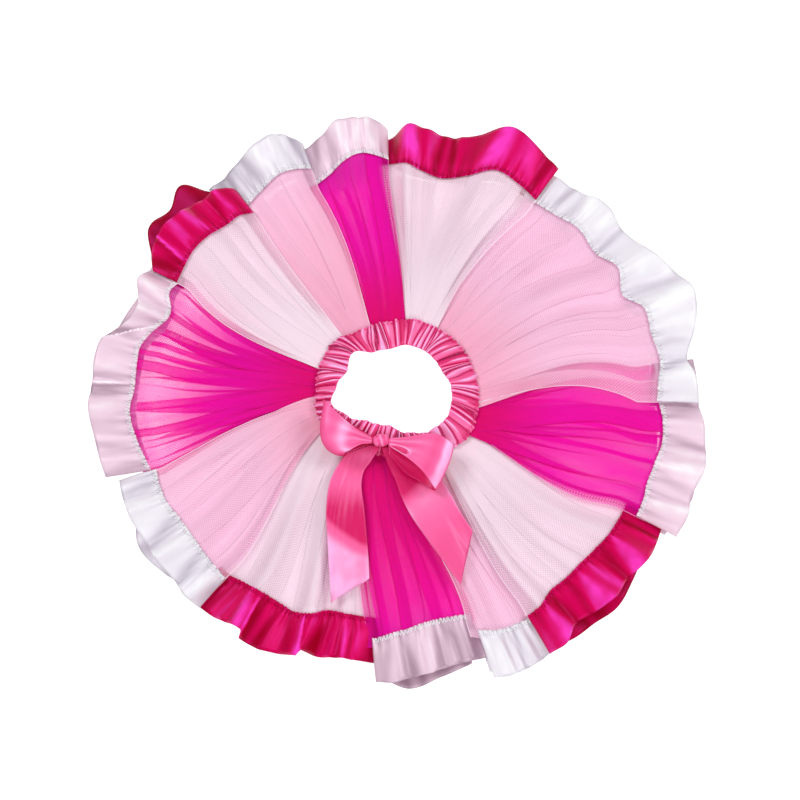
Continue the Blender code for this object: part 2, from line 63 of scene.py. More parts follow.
# Lines between panels: turn at the waist, half way and at the hem, the side that lies on top, how
# far the other is tucked under it, and how wide the single layer along the top edge is at the hem.
# ribbonEnd and ribbonStart shift the ribbons on either side, at the seam and at the free edge.
seams = [
    dict(waist=-8, middle=2, hem=-1.5, onTop="next", tuck=9.5, single=44),
    dict(waist=60, middle=60, hem=56, onTop="next", tuck=3.0, single=20),
    dict(waist=83.5, middle=88, hem=91.5, onTop="next", tuck=3.0, single=9),
    dict(waist=109.5, middle=107, hem=109, onTop="next", tuck=4.0, single=12),
    dict(waist=131.5, middle=128.5, hem=126, onTop="next", tuck=4.0, single=15),
    dict(waist=162, middle=159, hem=151, onTop="previous", tuck=3.5, single=8),
    dict(waist=187, middle=192, hem=198, onTop="next", tuck=3.0, single=10, ribbonEnd=(-3.4, -4.8)),
    dict(waist=205, middle=222, hem=229, onTop="previous", tuck=3.0, single=16),
    dict(waist=247, middle=255.5, hem=263.5, onTop="next", tuck=3.0, single=15,
         ribbonEnd=(1.5, 1.5), ribbonStart=(1.5, 3.0)),
    dict(waist=266, middle=281.5, hem=286.5, onTop="next", tuck=3.0, single=10,
         ribbonEnd=(-1.5, -1.0), ribbonStart=(1.7, 1.7)),
    dict(waist=301, middle=298.5, hem=299.5, onTop="next", tuck=3.0, single=14),
    dict(waist=331, middle=328, hem=332, onTop="next", tuck=3.0, single=7),
]
# Hem of each panel: turn, reach of the ribbon's gathered edge and of its free edge, and how high
# the free edge is lifted. A fold of a ribbon runs from a turn at the seam to one at the edge.
outerHem = [
    [(-1.5, 262, 304, 4), (3, 264, 302, 14), (8, 270, 298, 2), (14, 267, 314, 10), (20, 268, 323, 18),
     (25, 257, 319, 4), (31, 266, 304, 16), (37, 260, 299, 3), (44, 262, 302, 16), (50, 261, 298, 4),
     (56, 261, 299, 0)],
    [(56, 262, 306, 2), (61, 266, 312, 10), (67, 267, 319, 20), (73, 255, 305, 8), (79, 249, 298, 1),
     (84, 251, 299, 14), (87.5, 256, 299, 20), (90.5, 261, 293, 2), (92, 261, 290, 0)],
    [(91.5, 264, 300, 2), (94, 264, 305, 17), (98, 268, 308, 20), (102, 264, 311, 14), (105, 258, 303, 4),
     (109, 251, 295, 0)],
    [(109, 268, 300, 2), (112, 269, 311, 13), (117, 270, 314, 18), (121, 267, 311, 8), (126, 263, 304, 0)],
    [(126, 250, 284, 3), (129.5, 253, 291, 15), (133, 256, 295, 6), (138, 257, 296, 18),
     (144, 257, 297, 22), (148.5, 257, 294, 5), (151, 256, 285, 1)],
    [(151, 256, 289, 0), (154.5, 255, 291, 15), (158, 246, 283, 12), (161.5, 243, 275, 26),
     (165, 256, 285, 12), (168, 263, 301, 6), (172, 262, 305, 13), (178, 262, 305, 4), (184, 265, 306, 14),
     (190, 261, 302, 3), (194, 257, 300, 7), (198, 253, 298, 0)],
    [(198, 248, 286, 2), (202, 250, 288, 7), (207, 250, 289, 15), (212, 246, 287, 4), (217, 246, 288, 15),
     (222, 247, 286, 4), (226, 249, 290, 13), (229, 250, 287, 2)],
    [(229, 244, 286, 0), (233, 241, 285, 6), (237, 241, 283, 20), (242, 239, 281, 2), (246, 241, 278, 3),
     (250.5, 239, 276, 20), (254, 229, 274, 3), (259, 229, 272, 13), (265, 227, 270, 0)],
    [(265, 249, 290, 2), (268.5, 245, 291, 10), (272, 240, 286, 5), (276, 237, 285, 17), (280, 232, 279, 4),
     (283.5, 232, 278, 3), (286.5, 233, 278, 0)],
    [(286.5, 248, 297, 2), (290, 257, 305, 14), (294, 260, 304, 4), (297, 261, 303, 5),
     (299.5, 261, 300, 0)],
    [(299.5, 259, 301, 2), (302.5, 259, 303, 18), (306.5, 251, 291, 4), (311, 251, 294, 8),
     (315.5, 251, 298, 18), (320, 251, 294, 4), (325, 254, 299, 16), (329.5, 254, 297, 3),
     (332, 254, 295, 0)],
    [(332, 268, 311, 2), (335.5, 267, 313, 15), (340, 265, 310, 4), (345, 267, 315, 17), (350, 270, 313, 4),
     (354.5, 268, 309, 9), (358.5, 265, 305, 0)],
]
underHem = [
    [(-1.5, 250, 294, 0), (8, 252, 292, 3), (20, 258, 304, 0), (32, 252, 296, 3), (44, 250, 294, 0),
     (56, 250, 292, 2)],
    [(56, 252, 296, 0), (65, 257, 306, 3), (73, 246, 294, 0), (80, 238, 286, 3), (87, 242, 288, 0),
     (91.5, 244, 284, 0)],
    [(91.5, 240, 284, 0), (98, 243, 292, 3), (104, 240, 286, 0), (109, 236, 280, 0)],
    [(109, 254, 296, 0), (116, 256, 304, 3), (122, 250, 298, 0), (126, 244, 288, 0)],
    [(126, 238, 286, 0), (130.5, 250, 308, 0), (132.5, 270, 325, 3), (138, 268, 317, 0), (144, 270, 318, 3),
     (147.5, 258, 300, 0), (151, 244, 284, 0)],
    [(151, 246, 284, 0), (158, 244, 287, 3), (165, 248, 293, 3), (170, 254, 298, 0), (178, 256, 299, 3),
     (188, 252, 295, 0), (198, 248, 288, 0)],
    [(198, 238, 280, 0), (206, 243, 285, 0), (211, 248, 294, 3), (219, 244, 288, 3), (224, 240, 280, 0),
     (229, 238, 278, 0)],
    [(229, 232, 274, 0), (237, 233, 276, 3), (245, 226, 272, 0), (254, 217, 263, 3), (265, 217, 261, 0)],
    [(265, 236, 280, 0), (271.5, 243, 294, 2), (278, 240, 286, 2), (283, 236, 281, 2),
     (286.5, 232, 277, 0)],
    [(286.5, 246, 290, 0), (293, 249, 296, 3), (299.5, 248, 292, 0)],
    [(299.5, 246, 290, 0), (304.5, 250, 299, 2), (310, 252, 300, 0), (315, 254, 304, 3), (321, 250, 298, 2),
     (325.5, 247, 293, 0), (332, 246, 290, 0)],
    [(332, 256, 300, 0), (337, 259, 307, 2), (340.5, 262, 312, 3), (345, 260, 308, 0), (352, 257, 302, 3),
     (358.5, 254, 296, 0)],
]
hemFolds = {                                         # of the outer ribbons, by panel
    5: [dict(seam=146.4, edge=145.4, side=1, step=0)],
    6: [dict(seam=162.8, edge=168.5, side=-1, step=0),
        dict(seam=177, edge=178, side=1, step=0)],
    8: [dict(seam=238.1, edge=238.9, side=1, step=7.5),
        dict(seam=249.1, edge=250.9, side=1, step=-7)],
}


def smooth(x):
    x = np.clip(x, 0.0, 1.0)
    return x * x * (3.0 - 2.0 * x)


def mix(start, end, part):
    return start + (end - start) * part


def bell(x, width):
    return np.exp(-((x / width) ** 2))


def wave(x):
    return np.sin(2.0 * np.pi * x)


def between(at, stations):
    # for each place the station before it, the span to the next one and how much of that is behind
    stations = np.asarray(stations, float)
    low = np.clip(np.searchsorted(stations, at, side="right") - 1, 0, len(stations) - 2)
    span = stations[low + 1] - stations[low]
    return low, span, np.clip((at - stations[low]) / span, 0.0, 1.0)


def eased(at, stations, values):
    low, _, part = between(at, stations)
    values = np.asarray(values, float)
    return mix(values[low], values[low + 1], smooth(part))


def curveThrough(at, stations, values):
    # a smooth curve through the stations, with each slope taken from its neighbours
    low, span, t = between(at, stations)
    values = np.asarray(values, float)
    slopes = np.gradient(values, np.asarray(stations, float))
    a, b = values[low], values[low + 1]
    return ((2 * t ** 3 - 3 * t ** 2 + 1) * a + (t ** 3 - 2 * t ** 2 + t) * slopes[low] * span
            + (3 * t ** 2 - 2 * t ** 3) * b + (t ** 3 - t ** 2) * slopes[low + 1] * span)


def hemWave(waves, turn, key):
    return np.maximum(curveThrough(turn, waves["turn"], waves[key]), 0.0)


def bandAt(turn, column):
    return eased(np.asarray(turn) % 360.0, band["turn"], band[column])


def place(turn, reach, height):
    angle = np.radians(turn)
    spots = [skirt["waistX"] + reach * np.cos(angle), skirt["waistY"] + reach * np.sin(angle), height]
    return np.stack(np.broadcast_arrays(*spots), axis=-1) * mm


def seamTurn(seam, reach):
    length = skirt["seamEnd"] - skirt["waistStation"]
    part = np.clip((reach - skirt["waistStation"]) / length, 0.0, 1.0)
    middle = (skirt["middleStation"] - skirt["waistStation"]) / length
    straight = seam["hem"] - seam["waist"]
    bend = (seam["middle"] - seam["waist"] - straight * middle) / (middle * (middle - 1.0))
    return seam["waist"] + straight * part + bend * part * (part - 1.0)


def panelOf(layerName, index):
    first, last = dict(seams[index]), dict(seams[(index + 1) % len(seams)])
    if index + 1 == len(seams):
        for key in ("waist", "middle", "hem"):
            last[key] += 360
    outer = layerName == "outer"
    startOnTop, endOnTop = first["onTop"] == "next", last["onTop"] == "previous"
    hem = (outerHem if outer else underHem)[index]
    return {
        "number": index + 1, "colour": index % 3, "label": f"{layerName}_{index + 1:02d}",
        "layer": layers[layerName], "layerName": layerName, "outer": outer,
        "waves": dict(zip(("turn", "gathered", "free", "lift"), zip(*hem))),
        "folds": hemFolds.get(index + 1, []) if outer else [], "first": first, "last": last,
        "startLevel": float(outer and startOnTop), "endLevel": float(outer and endOnTop),
        "startTuck": first["tuck"] if outer and not startOnTop else 0.0,
        "endTuck": last["tuck"] if outer and not endOnTop else 0.0,
    }


def panelTurn(panel, share, reach):
    station, waistTuck = skirt["waistStation"], skirt["waistTuck"]
    growth = smooth((reach - station) / (skirt["flatReach"] - station))
    start, end = seamTurn(panel["first"], reach), seamTurn(panel["last"], reach)
    if panel["startTuck"]:
        start = start - waistTuck - (panel["startTuck"] - waistTuck) * growth
    if panel["endTuck"]:
        end = end + waistTuck + (panel["endTuck"] - waistTuck) * growth
    return mix(start, end, share)


def panelLevel(panel, share):
    zone = skirt["levelZone"]
    return mix(panel["startLevel"], panel["endLevel"], smooth((share - zone) / (1.0 - 2.0 * zone)))


def clothHeight(layer, level, lift, part):
    part = np.minimum(part, 1.0)
    bed = mix(layer["waist"], layer["flat"], smooth(part / layer["settled"]))
    bed = bed + layer["billow"] * np.sin(np.pi * part)
    pitch = mix(skirt["waistPitch"], skirt["hemPitch"], smooth(part / skirt["pitchSettled"]))
    growth = mix(skirt["foldAtWaist"], 1.0, part ** 2)
    fold = lift * skirt["tulleLift"] * growth * smooth(part / skirt["foldStart"])
    return bed + level * pitch + fold


def unevenRun(rng, length, mean, at):
    # running number of puckers along a seam whose widths vary
    count = max(3, int(length / mean) + 3)
    ends = np.cumsum(rng.uniform(0.5, 1.5, count) * mean)
    ends = np.concatenate([[0.0], ends * (length * 1.02 / ends[-1])])
    return np.interp(at, ends, np.arange(len(ends)))


def addObject(name, data):
    thing = bpy.data.objects.new(name, data)
    scene.collection.objects.link(thing)
    return thing


def newPiece(name, cloth):
    mesh = bpy.data.meshes.new(name)
    cloth.to_mesh(mesh)
    cloth.free()
    return addObject(name, mesh)


def gridPiece(name, points, uv, marks, flip=True, closed=False):
    # a grid of squares whose points are put in place row by row
    rows, columns = points.shape[:2]
    cloth = bmesh.new()
    bmesh.ops.create_grid(cloth, x_segments=columns - 1, y_segments=rows - 1, size=1.0)
    piece = newPiece(name, cloth)
    mesh = piece.data
    mesh.vertices.foreach_set("co", points.reshape(-1, 3).astype(np.float32).ravel())
    uvLayer = mesh.uv_layers.new(name="cloth")
    owner = np.zeros(len(mesh.loops), np.int32)
    mesh.loops.foreach_get("vertex_index", owner)
    uvLayer.data.foreach_set("uv", uv.reshape(-1, 2)[owner].astype(np.float32).ravel())
    for label, values in marks.items():
        layer = mesh.attributes.new(label, "FLOAT", "POINT")
        layer.data.foreach_set("value", np.broadcast_to(values, (rows, columns)).astype(np.float32).ravel())
    if flip:
        mesh.flip_normals()
    if closed:
        cloth = bmesh.new()
        cloth.from_mesh(mesh)
        bmesh.ops.remove_doubles(cloth, verts=cloth.verts, dist=0.00001)
        bmesh.ops.recalc_face_normals(cloth, faces=cloth.faces)
        cloth.to_mesh(mesh)
        cloth.free()
    mesh.shade_smooth()
    return piece


def wall(piece, thick):
    shell = piece.modifiers.new("wall", "SOLIDIFY")
    shell.thickness = thick * mm
    shell.offset = 0.0


def finishPiece(piece, node, slot):
    piece.data.materials.append(materials[slot])
    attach(piece, "root")
    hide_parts(node)


print("stage: layout ready")

netLook = {
    "mesh": 2.0, "meanHole": 0.405,                  # width of a mesh, and its mean openness
    "contrast": 0.95, "fainter": 0.65,               # thread against hole, and less of it in the gathers
    "edgeCount": 1.6, "foldCount": 0.35,             # layers that a selvedge and a turned edge add
    "foldTint": 0.7, "relief": 0.0008,
    "finish": {"Roughness": 0.75, "Specular IOR Level": 0.15, "Sheen Weight": 0.05, "Sheen Roughness": 0.5},
}
tulleLooks = {
    "light_pink_tulle": {
        "colour": (1.0, 0.62, 0.82), "gathered": (1.0, 0.48, 0.66), "foldLine": (1.0, 0.66, 0.82),
        "edge": (1.0, 0.85, 0.94), "cover": 0.80, "passesLight": 0.14,
    },
    "white_tulle": {
        "colour": (0.96, 0.77, 0.88), "gathered": (1.0, 0.82, 0.92), "foldLine": (0.94, 0.82, 0.90),
        "edge": (1.0, 0.94, 0.98), "cover": 0.82, "passesLight": 0.14,
    },
    "hot_pink_tulle": {
        "colour": (0.95, 0.001, 0.50), "gathered": (0.90, 0.001, 0.22), "foldLine": (0.85, 0.001, 0.32),
        "edge": (1.0, 0.35, 0.75), "cover": 0.88, "passesLight": 0.3,
    },
}
satinFinish = {
    "paintedHighlightCloud": (0.35, 1.3), "paintedHighlightPower": 1.4,      # least and extra painted highlight, and how sharply it starts
    # pinch sets how dark the painted shade along pinched lines becomes
    "pinch": 0.8, "creaseRelief": 2.8, "weaveRelief": 0.03, "relief": 0.0015, "rough": (0.32, 0.12),
    "finish": {"Specular IOR Level": 0.65, "Sheen Weight": 0.08, "Sheen Roughness": 0.35},
}
# Besides its own colour, each satin has a colour for painted shade and one for painted highlights, and the
# pink satin has one for painted shade along pinched lines. Shine tints the real gloss. The creases number
# sets how strongly crease noise paints shade and highlight, and how much it raises bumps.
satinLooks = {
    "white_satin": {
        "creases": 0.40, "colour": (0.82, 0.77, 0.85), "fold": (0.44, 0.38, 0.47),
        "paintedHighlight": (0.97, 0.97, 0.99), "shine": (1.0, 1.0, 1.0),
    },
    "hot_pink_satin": {
        "creases": 0.30, "colour": (0.66, 0.0004, 0.085), "fold": (0.34, 0.0, 0.012),
        "paintedHighlight": (0.98, 0.045, 0.52), "shine": (1.0, 0.06, 0.55),
    },
    "light_pink_satin": {
        "creases": 0.40, "colour": (0.85, 0.62, 0.75), "fold": (0.44, 0.28, 0.37),
        "paintedHighlight": (1.0, 0.93, 0.98), "shine": (1.0, 0.95, 1.0),
    },
    "pink_satin": {
        "creases": 0.10, "colour": (0.97, 0.12, 0.35), "fold": (0.70, 0.002, 0.115),
        "paintedHighlight": (1.0, 0.46, 0.80), "shine": (1.0, 0.6, 0.95), "paintedPinchShade": (0.25, 0.004, 0.09),
    },
}


class Nodes:
    # short ways to add and join the shader nodes of a new material

    def __init__(self, name):
        self.material = bpy.data.materials.new(name)
        self.material.use_nodes = True
        self.tree = self.material.node_tree
        self.shader = self.tree.nodes["Principled BSDF"]

    def feed(self, node, inputs):
        # each input takes another node's output, a number or a colour
        for name, value in inputs.items():
            socket = node.inputs[name]
            if isinstance(value, bpy.types.NodeSocket):
                self.tree.links.new(value, socket)
            else:
                socket.default_value = (*value, 1.0) if socket.type == "RGBA" else value
        return node

    def add(self, kind, inputs=None, **settings):
        node = self.tree.nodes.new(kind)
        for key, value in settings.items():
            setattr(node, key, value)
        return self.feed(node, inputs or {})

    def math(self, operation, *values, clamp=False):
        node = self.add("ShaderNodeMath", dict(enumerate(values)), operation=operation, use_clamp=clamp)
        return node.outputs[0]

    def plus(self, first, second):
        return self.math("ADD", first, second)

    def minus(self, first, second, clamp=False):
        return self.math("SUBTRACT", first, second, clamp=clamp)

    def times(self, first, second, clamp=False):
        return self.math("MULTIPLY", first, second, clamp=clamp)

    def mark(self, name):
        return self.add("ShaderNodeAttribute", attribute_name=name).outputs["Fac"]

    def uv(self):
        return self.add("ShaderNodeUVMap", uv_map="cloth").outputs["UV"]

    def noise(self, across, along, detail):
        spot = self.add("ShaderNodeMapping", {"Vector": self.uv(), "Scale": (across, along, 1.0)})
        cloud = {"Vector": spot.outputs["Vector"], "Scale": 1.0, "Detail": detail}
        return self.add("ShaderNodeTexNoise", cloud).outputs["Fac"]

    def bump(self, height, distance):
        relief = {"Strength": 0.3, "Distance": distance, "Height": height}
        return self.add("ShaderNodeBump", relief).outputs["Normal"]

    def blend(self, amount, first, second):
        return self.add("ShaderNodeMix", {0: amount, 6: first, 7: second}, data_type="RGBA").outputs[2]

    def overlay(self, amount, first, second):
        return self.add("ShaderNodeMixShader", {0: amount, 1: first, 2: second}).outputs[0]


def tulleMaterial(name):
    # net with see-through meshes that also passes light on; the marks give doubled cloth and edges
    look = tulleLooks[name]
    n = Nodes(name)
    spot = n.add("ShaderNodeSeparateXYZ", {0: n.uv()}).outputs
    pitch = math.pi / (math.sqrt(2.0) * netLook["mesh"])    # radians a mm along both slants
    slants = n.plus(spot["X"], spot["Y"]), n.minus(spot["X"], spot["Y"])
    threads = [n.math("ABSOLUTE", n.math("SINE", n.times(slant, pitch))) for slant in slants]
    contrast = n.minus(netLook["contrast"], n.times(n.mark("gathered"), netLook["fainter"]))
    openness = n.minus(n.math("MINIMUM", *threads), netLook["meanHole"])
    net = n.minus(1.0, n.times(openness, contrast))
    streaks = n.noise(0.16, 0.010, 3.0)
    uneven = n.plus(streaks, n.noise(0.03, 0.014, 1.0))
    count = n.times(n.times(n.mark("layersHere"), uneven), net)
    count = n.plus(count, n.times(n.mark("edge"), netLook["edgeCount"]))
    count = n.plus(count, n.times(n.mark("foldLine"), netLook["foldCount"]))
    through = n.math("POWER", 1.0 - look["cover"], n.times(count, 0.5))
    colour = n.blend(n.mark("gathered"), look["colour"], look["gathered"])
    colour = n.blend(n.times(n.mark("foldLine"), netLook["foldTint"], clamp=True), colour, look["foldLine"])
    colour = n.blend(n.mark("edge"), colour, look["edge"])
    relief = n.bump(streaks, netLook["relief"])
    n.feed(n.shader, {"Base Color": colour, "Normal": relief, **netLook["finish"]})
    behind = n.add("ShaderNodeBsdfTranslucent", {"Color": colour}).outputs[0]
    cloth = n.overlay(look["passesLight"], n.shader.outputs[0], behind)
    clear = n.add("ShaderNodeBsdfTransparent").outputs[0]
    shown = n.overlay(n.minus(1.0, through, clamp=True), clear, cloth)
    n.feed(n.tree.nodes["Material Output"], {"Surface": shown})
    return n.material


def satinMaterial(name):
    look, finish = satinLooks[name], satinFinish
    n = Nodes(name)
    crease, weave = n.noise(0.07, 0.03, 2.0), n.noise(0.6, 3.2, 2.0)
    # Below zero, the painted light mark (with crease noise added) blends the colour towards painted shade.
    # Above zero, it blends towards a patchy painted highlight.
    paintedLight = n.plus(n.mark("paintedLight"), n.times(n.minus(crease, 0.5), look["creases"]))
    colour = n.blend(n.times(paintedLight, -1.0, clamp=True), look["colour"], look["fold"])
    cloud = n.plus(finish["paintedHighlightCloud"][0], n.times(n.noise(0.05, 0.06, 1.0), finish["paintedHighlightCloud"][1]))
    lit = n.math("POWER", n.times(paintedLight, cloud, clamp=True), finish["paintedHighlightPower"], clamp=True)
    colour = n.blend(lit, colour, look["paintedHighlight"])
    if "paintedPinchShade" in look:                               # painted shade along lines where the cloth is pinched shut
        pinched = n.times(n.mark("paintedCreaseShade"), finish["pinch"], clamp=True)
        colour = n.blend(pinched, colour, look["paintedPinchShade"])
    height = n.plus(n.times(crease, finish["creaseRelief"] * look["creases"]),
                    n.times(weave, finish["weaveRelief"]))
    n.feed(n.shader, {
        "Base Color": colour, "Normal": n.bump(height, finish["relief"]),
        "Roughness": n.plus(finish["rough"][0], n.times(weave, finish["rough"][1])),
        "Specular Tint": look["shine"], "Sheen Tint": look["shine"], **finish["finish"],
    })
    return n.material


materials = {name: tulleMaterial(name) for name in tulleLooks}
materials.update({name: satinMaterial(name) for name in satinLooks})
tulleSlots = ["light_pink_tulle", "white_tulle", "hot_pink_tulle"]      # in turn round the skirt
ribbonSlots = ["white_satin", "hot_pink_satin", "light_pink_satin"]
print("stage: materials ready")

tulle = {
    "fullness": {"outer": 1.34, "under": 1.2},       # cloth width over the hem's arc
    "meanPleat": {"hot": 26.0, "light": 34.0, "under": 36.0},
    "pleatSpread": 0.6, "takeSpread": (0.8, 1.2), "waistSpread": (0.5, 1.5), "foldMiddle": (0.42, 0.58),
    "seenOfFold": 0.4,                               # part of a pleat that shows where it is folded
    "nets": {"hot": (2.3, 0.5), "light": (3.2, 0.8)},       # in the panel, and in its seen side margins
    "sheerer": {6: 0.25, 12: 0.7, 3: 1.0, 4: 1.4},   # net left towards the hem, of these panels
    "sheererRest": 0.9,
    "softness": {"hot": 1.0, "light": 0.2},
    "column": {"outer": 2.4, "under": 4.0},          # cloth between two columns of points
    "rows": {"outer": (30, 8), "under": (16, 5)},
    "creaseRadius": 0.35, "edgeWidth": 0.5, "innerBorder": 1.6,
    "foldRise": {"outer": 0.6, "under": 0.3}, "ripple": {"outer": 0.55, "under": 0.2},
    "rippleLength": (24.0, 70.0),
    "drawnIn": {9: 1.1, 4: 1.25, 5: 0.8},            # how far out the gathers' deeper colour reaches
    "drawnInRest": 0.55,
    "creaseMark": {"hot": 1.0, "light": 0.25},       # how strongly the turned edges of pleats show
    "allowance": {"hot": 0.3, "light": 1.0},         # layers of net that lie under the ribbon
    "hiddenMargin": 6.0, "floorGap": 0.25, "sewnReach": 75.0,
}


def pleatTable(rng, cloth, name, mean, margins):
    # uneven pleats from edge to edge; the first and last are the flat single margins, and at the
    # hem only some of the others are still folded
    inner = np.exp(rng.normal(0.0, tulle["pleatSpread"], max(3, round((cloth - sum(margins)) / mean))))
    inner *= (cloth - sum(margins)) / inner.sum()
    spare = cloth * (1.0 - 1.0 / tulle["fullness"][name])
    folded = np.zeros(len(inner), bool)
    for index in rng.permutation(len(inner)):
        if inner[folded].sum() < spare / (1.0 - tulle["seenOfFold"]):
            folded[index] = True
    take = inner * folded * rng.uniform(*tulle["takeSpread"], len(inner))
    seen = inner - take * spare / take.sum()
    widths = np.concatenate([[margins[0]], inner, [margins[1]]])
    seenHem = np.concatenate([[margins[0]], seen, [margins[1]]])
    seenWaist = widths * rng.uniform(*tulle["waistSpread"], len(widths))
    return {
        "width": widths, "atHem": seenHem / seenHem.sum(), "atWaist": seenWaist / seenWaist.sum(),
        "middle": rng.uniform(*tulle["foldMiddle"], len(widths)),
        "side": np.where(rng.random(len(widths)) < 0.5, -1.0, 1.0),
    }


def pleatedRow(table, part, width, rise, step):
    # each pleat is a Z: the cloth runs forward, turns back and runs forward again, and how far it
    # turns back is what the row has too much of
    border = tulle["edgeWidth"]
    inset = tulle["innerBorder"] * border
    last = len(table["width"]) - 1
    columns = []
    startX = startU = 0.0
    for index, cloth in enumerate(table["width"]):
        isFirst, isLast = index == 0, index == last
        seen = mix(table["atWaist"][index], table["atHem"][index], part ** 0.9) * width
        back = float(np.clip(0.5 * (cloth - seen), 0.02, 0.44 * cloth))
        middle = table["middle"][index] * cloth
        turnA, turnB = middle - 0.5 * back, middle + 0.5 * back
        soft = min(tulle["creaseRadius"], 0.4 * back)
        legs = [max(2, round(share * cloth / step)) for share in (0.5, 0.25, 0.5)]
        start = [0.0, border] if isFirst else []
        end = [cloth - inset, cloth - border, cloth] if isLast else []
        spots = np.concatenate([
            start, np.linspace(inset if isFirst else 0.0, turnA - soft, legs[0] + 1)[:-1],
            [turnA - soft, turnA, turnA + soft],
            np.linspace(turnA + soft, turnB - soft, legs[1] + 1)[1:-1],
            [turnB - soft, turnB, turnB + soft],
            np.linspace(turnB + soft, end[0] if isLast else cloth, legs[2] + 1)[1:-1], end,
        ])
        first, second = (np.clip((spots - at + soft) / (2.0 * soft), 0.0, 1.0) for at in (turnA, turnB))
        turnedBack = np.where(spots <= turnB, 2.0 * turnA - spots, spots - 2.0 * back)
        settle = smooth(((spots - turnB) / (cloth - turnB) - 0.45) / 0.55)
        lifted = rise * float(smooth(back / 2.0)) * table["side"][index]
        onLine = (np.abs(spots - turnA) < 1.01 * soft) | (np.abs(spots - turnB) < 1.01 * soft)
        columns.append([
            startX + np.where(spots <= turnA, spots, turnedBack),
            lifted * (smooth(first) + smooth(second)) * (1.0 - settle), startU + spots,
            onLine * 1.0 * float(smooth((back - 1.0) / 2.0)),
            (isFirst & (spots <= border)) * 1.0 + (isLast & (spots >= cloth - border)) * 2.0,
            np.full(len(spots), 1.0 * isFirst + 2.0 * isLast),
        ])
        startX += cloth - 2.0 * back
        startU += cloth
    x, *rest = (np.concatenate(column) for column in zip(*columns))
    return x / startX, *rest


def tullePanel(panel):
    name, number = panel["layerName"], panel["number"]
    shade = ["light", "light", "hot"][panel["colour"]]
    rng = np.random.default_rng(100 + number + (0 if panel["outer"] else 50))
    mainRows, hemRows = tulle["rows"][name]
    hem, flatReach, station = skirt["hemReach"], skirt["flatReach"], skirt["waistStation"]
    tuck = skirt["deeperTuck"]
    mainParts = np.concatenate([[-tuck, -0.5 * tuck], np.linspace(0.0, 1.0, mainRows - 2)])
    nominal = np.concatenate([
        station + mainParts * (flatReach - station),
        np.linspace(flatReach, hem, hemRows + 1)[1:],
    ])
    arcs = np.radians(panelTurn(panel, 1.0, nominal) - panelTurn(panel, 0.0, nominal)) * nominal
    cloth = tulle["fullness"][name] * arcs[-1]
    parts = (nominal - station) / (hem - station)
    margins = [panel[seam]["single"] if panel[level] else tulle["hiddenMargin"]
               for seam, level in (("first", "startLevel"), ("last", "endLevel"))]
    table = pleatTable(rng, cloth, name, tulle["meanPleat"][shade if panel["outer"] else "under"], margins)
    swell = np.sin(np.pi * np.clip(parts * 0.95, 0, 1))
    soft = tulle["softness"][shade]
    rise = tulle["foldRise"][name] * (0.35 + 0.65 * swell) * soft
    rows = [pleatedRow(table, max(part, 0.0), width, up, tulle["column"][name])
            for part, width, up in zip(parts, arcs, rise)]
    shares, rises, across, sharp, edge, side = (np.array(column) for column in zip(*rows))
    edge, inMargin = ((sides == 1.0) * panel["startLevel"] + (sides == 2.0) * panel["endLevel"]
                      for sides in (edge, side))
    hemTurn = panelTurn(panel, shares, skirt["seamEnd"])
    lift, gathered = (hemWave(panel["waves"], hemTurn, key) for key in ("lift", "gathered"))
    waist = bandAt(panelTurn(panel, shares, nominal[:, None]), "outer") - skirt["tuckUnderBand"]
    flatPart = np.concatenate([mainParts, np.ones(hemRows)])[:, None]
    hemPart = np.concatenate([np.zeros(mainRows), np.arange(1, hemRows + 1) / hemRows])[:, None]
    reach = mix(waist, flatReach, flatPart)
    reach = reach + hemPart * (gathered + skirt["hemMargin"] - flatReach)
    ripple = sum(rng.uniform(0.5, 1.0) * wave(across / rng.uniform(*tulle["rippleLength"]) + rng.random())
                 for _ in range(3))
    height = clothHeight(panel["layer"], panelLevel(panel, shares), lift, np.maximum(flatPart, 0.0)) + rises
    height = height + skirt["tuckRise"] * smooth(-flatPart / tuck)
    loose = (swell * smooth((0.97 - parts) * 5.0))[:, None]
    height = height + ripple * tulle["ripple"][name] * (0.5 + 0.5 * soft) * loose
    if not panel["outer"]:
        height = np.maximum(height, tulle["floorGap"])
    points = place(panelTurn(panel, shares, np.where(hemPart > 0, reach, nominal[:, None])), reach, height)
    uv = np.stack([across + 40.0 * number, reach + 0.0 * across], axis=-1)
    body, margin = tulle["nets"][shade]
    thinning = tulle["sheerer"].get(number, tulle["sheererRest"])
    body = body * mix(1.0, thinning, smooth(parts[:, None] * 1.4 - 0.3))
    nets = body + (margin - body) * inMargin * smooth(parts[:, None] * 4.0)
    drawnIn = tulle["drawnIn"].get(number, tulle["drawnInRest"])
    piece = gridPiece(f"tullePanel_{panel['label']}", points, uv, {
        "layersHere": nets + smooth((reach - gathered + 3.0) / 2.0) * tulle["allowance"][shade],
        "edge": edge, "gathered": smooth(1.0 - parts / drawnIn)[:, None],
        "foldLine": sharp * tulle["creaseMark"][shade],
    })
    finishPiece(piece, f"tulle_{panel['label']}", tulleSlots[panel["colour"]])


panels = [panelOf(layerName, index) for layerName in ("outer", "under") for index in range(12)]
for panel in panels:
    tullePanel(panel)
print("stage: tulle panels ready")

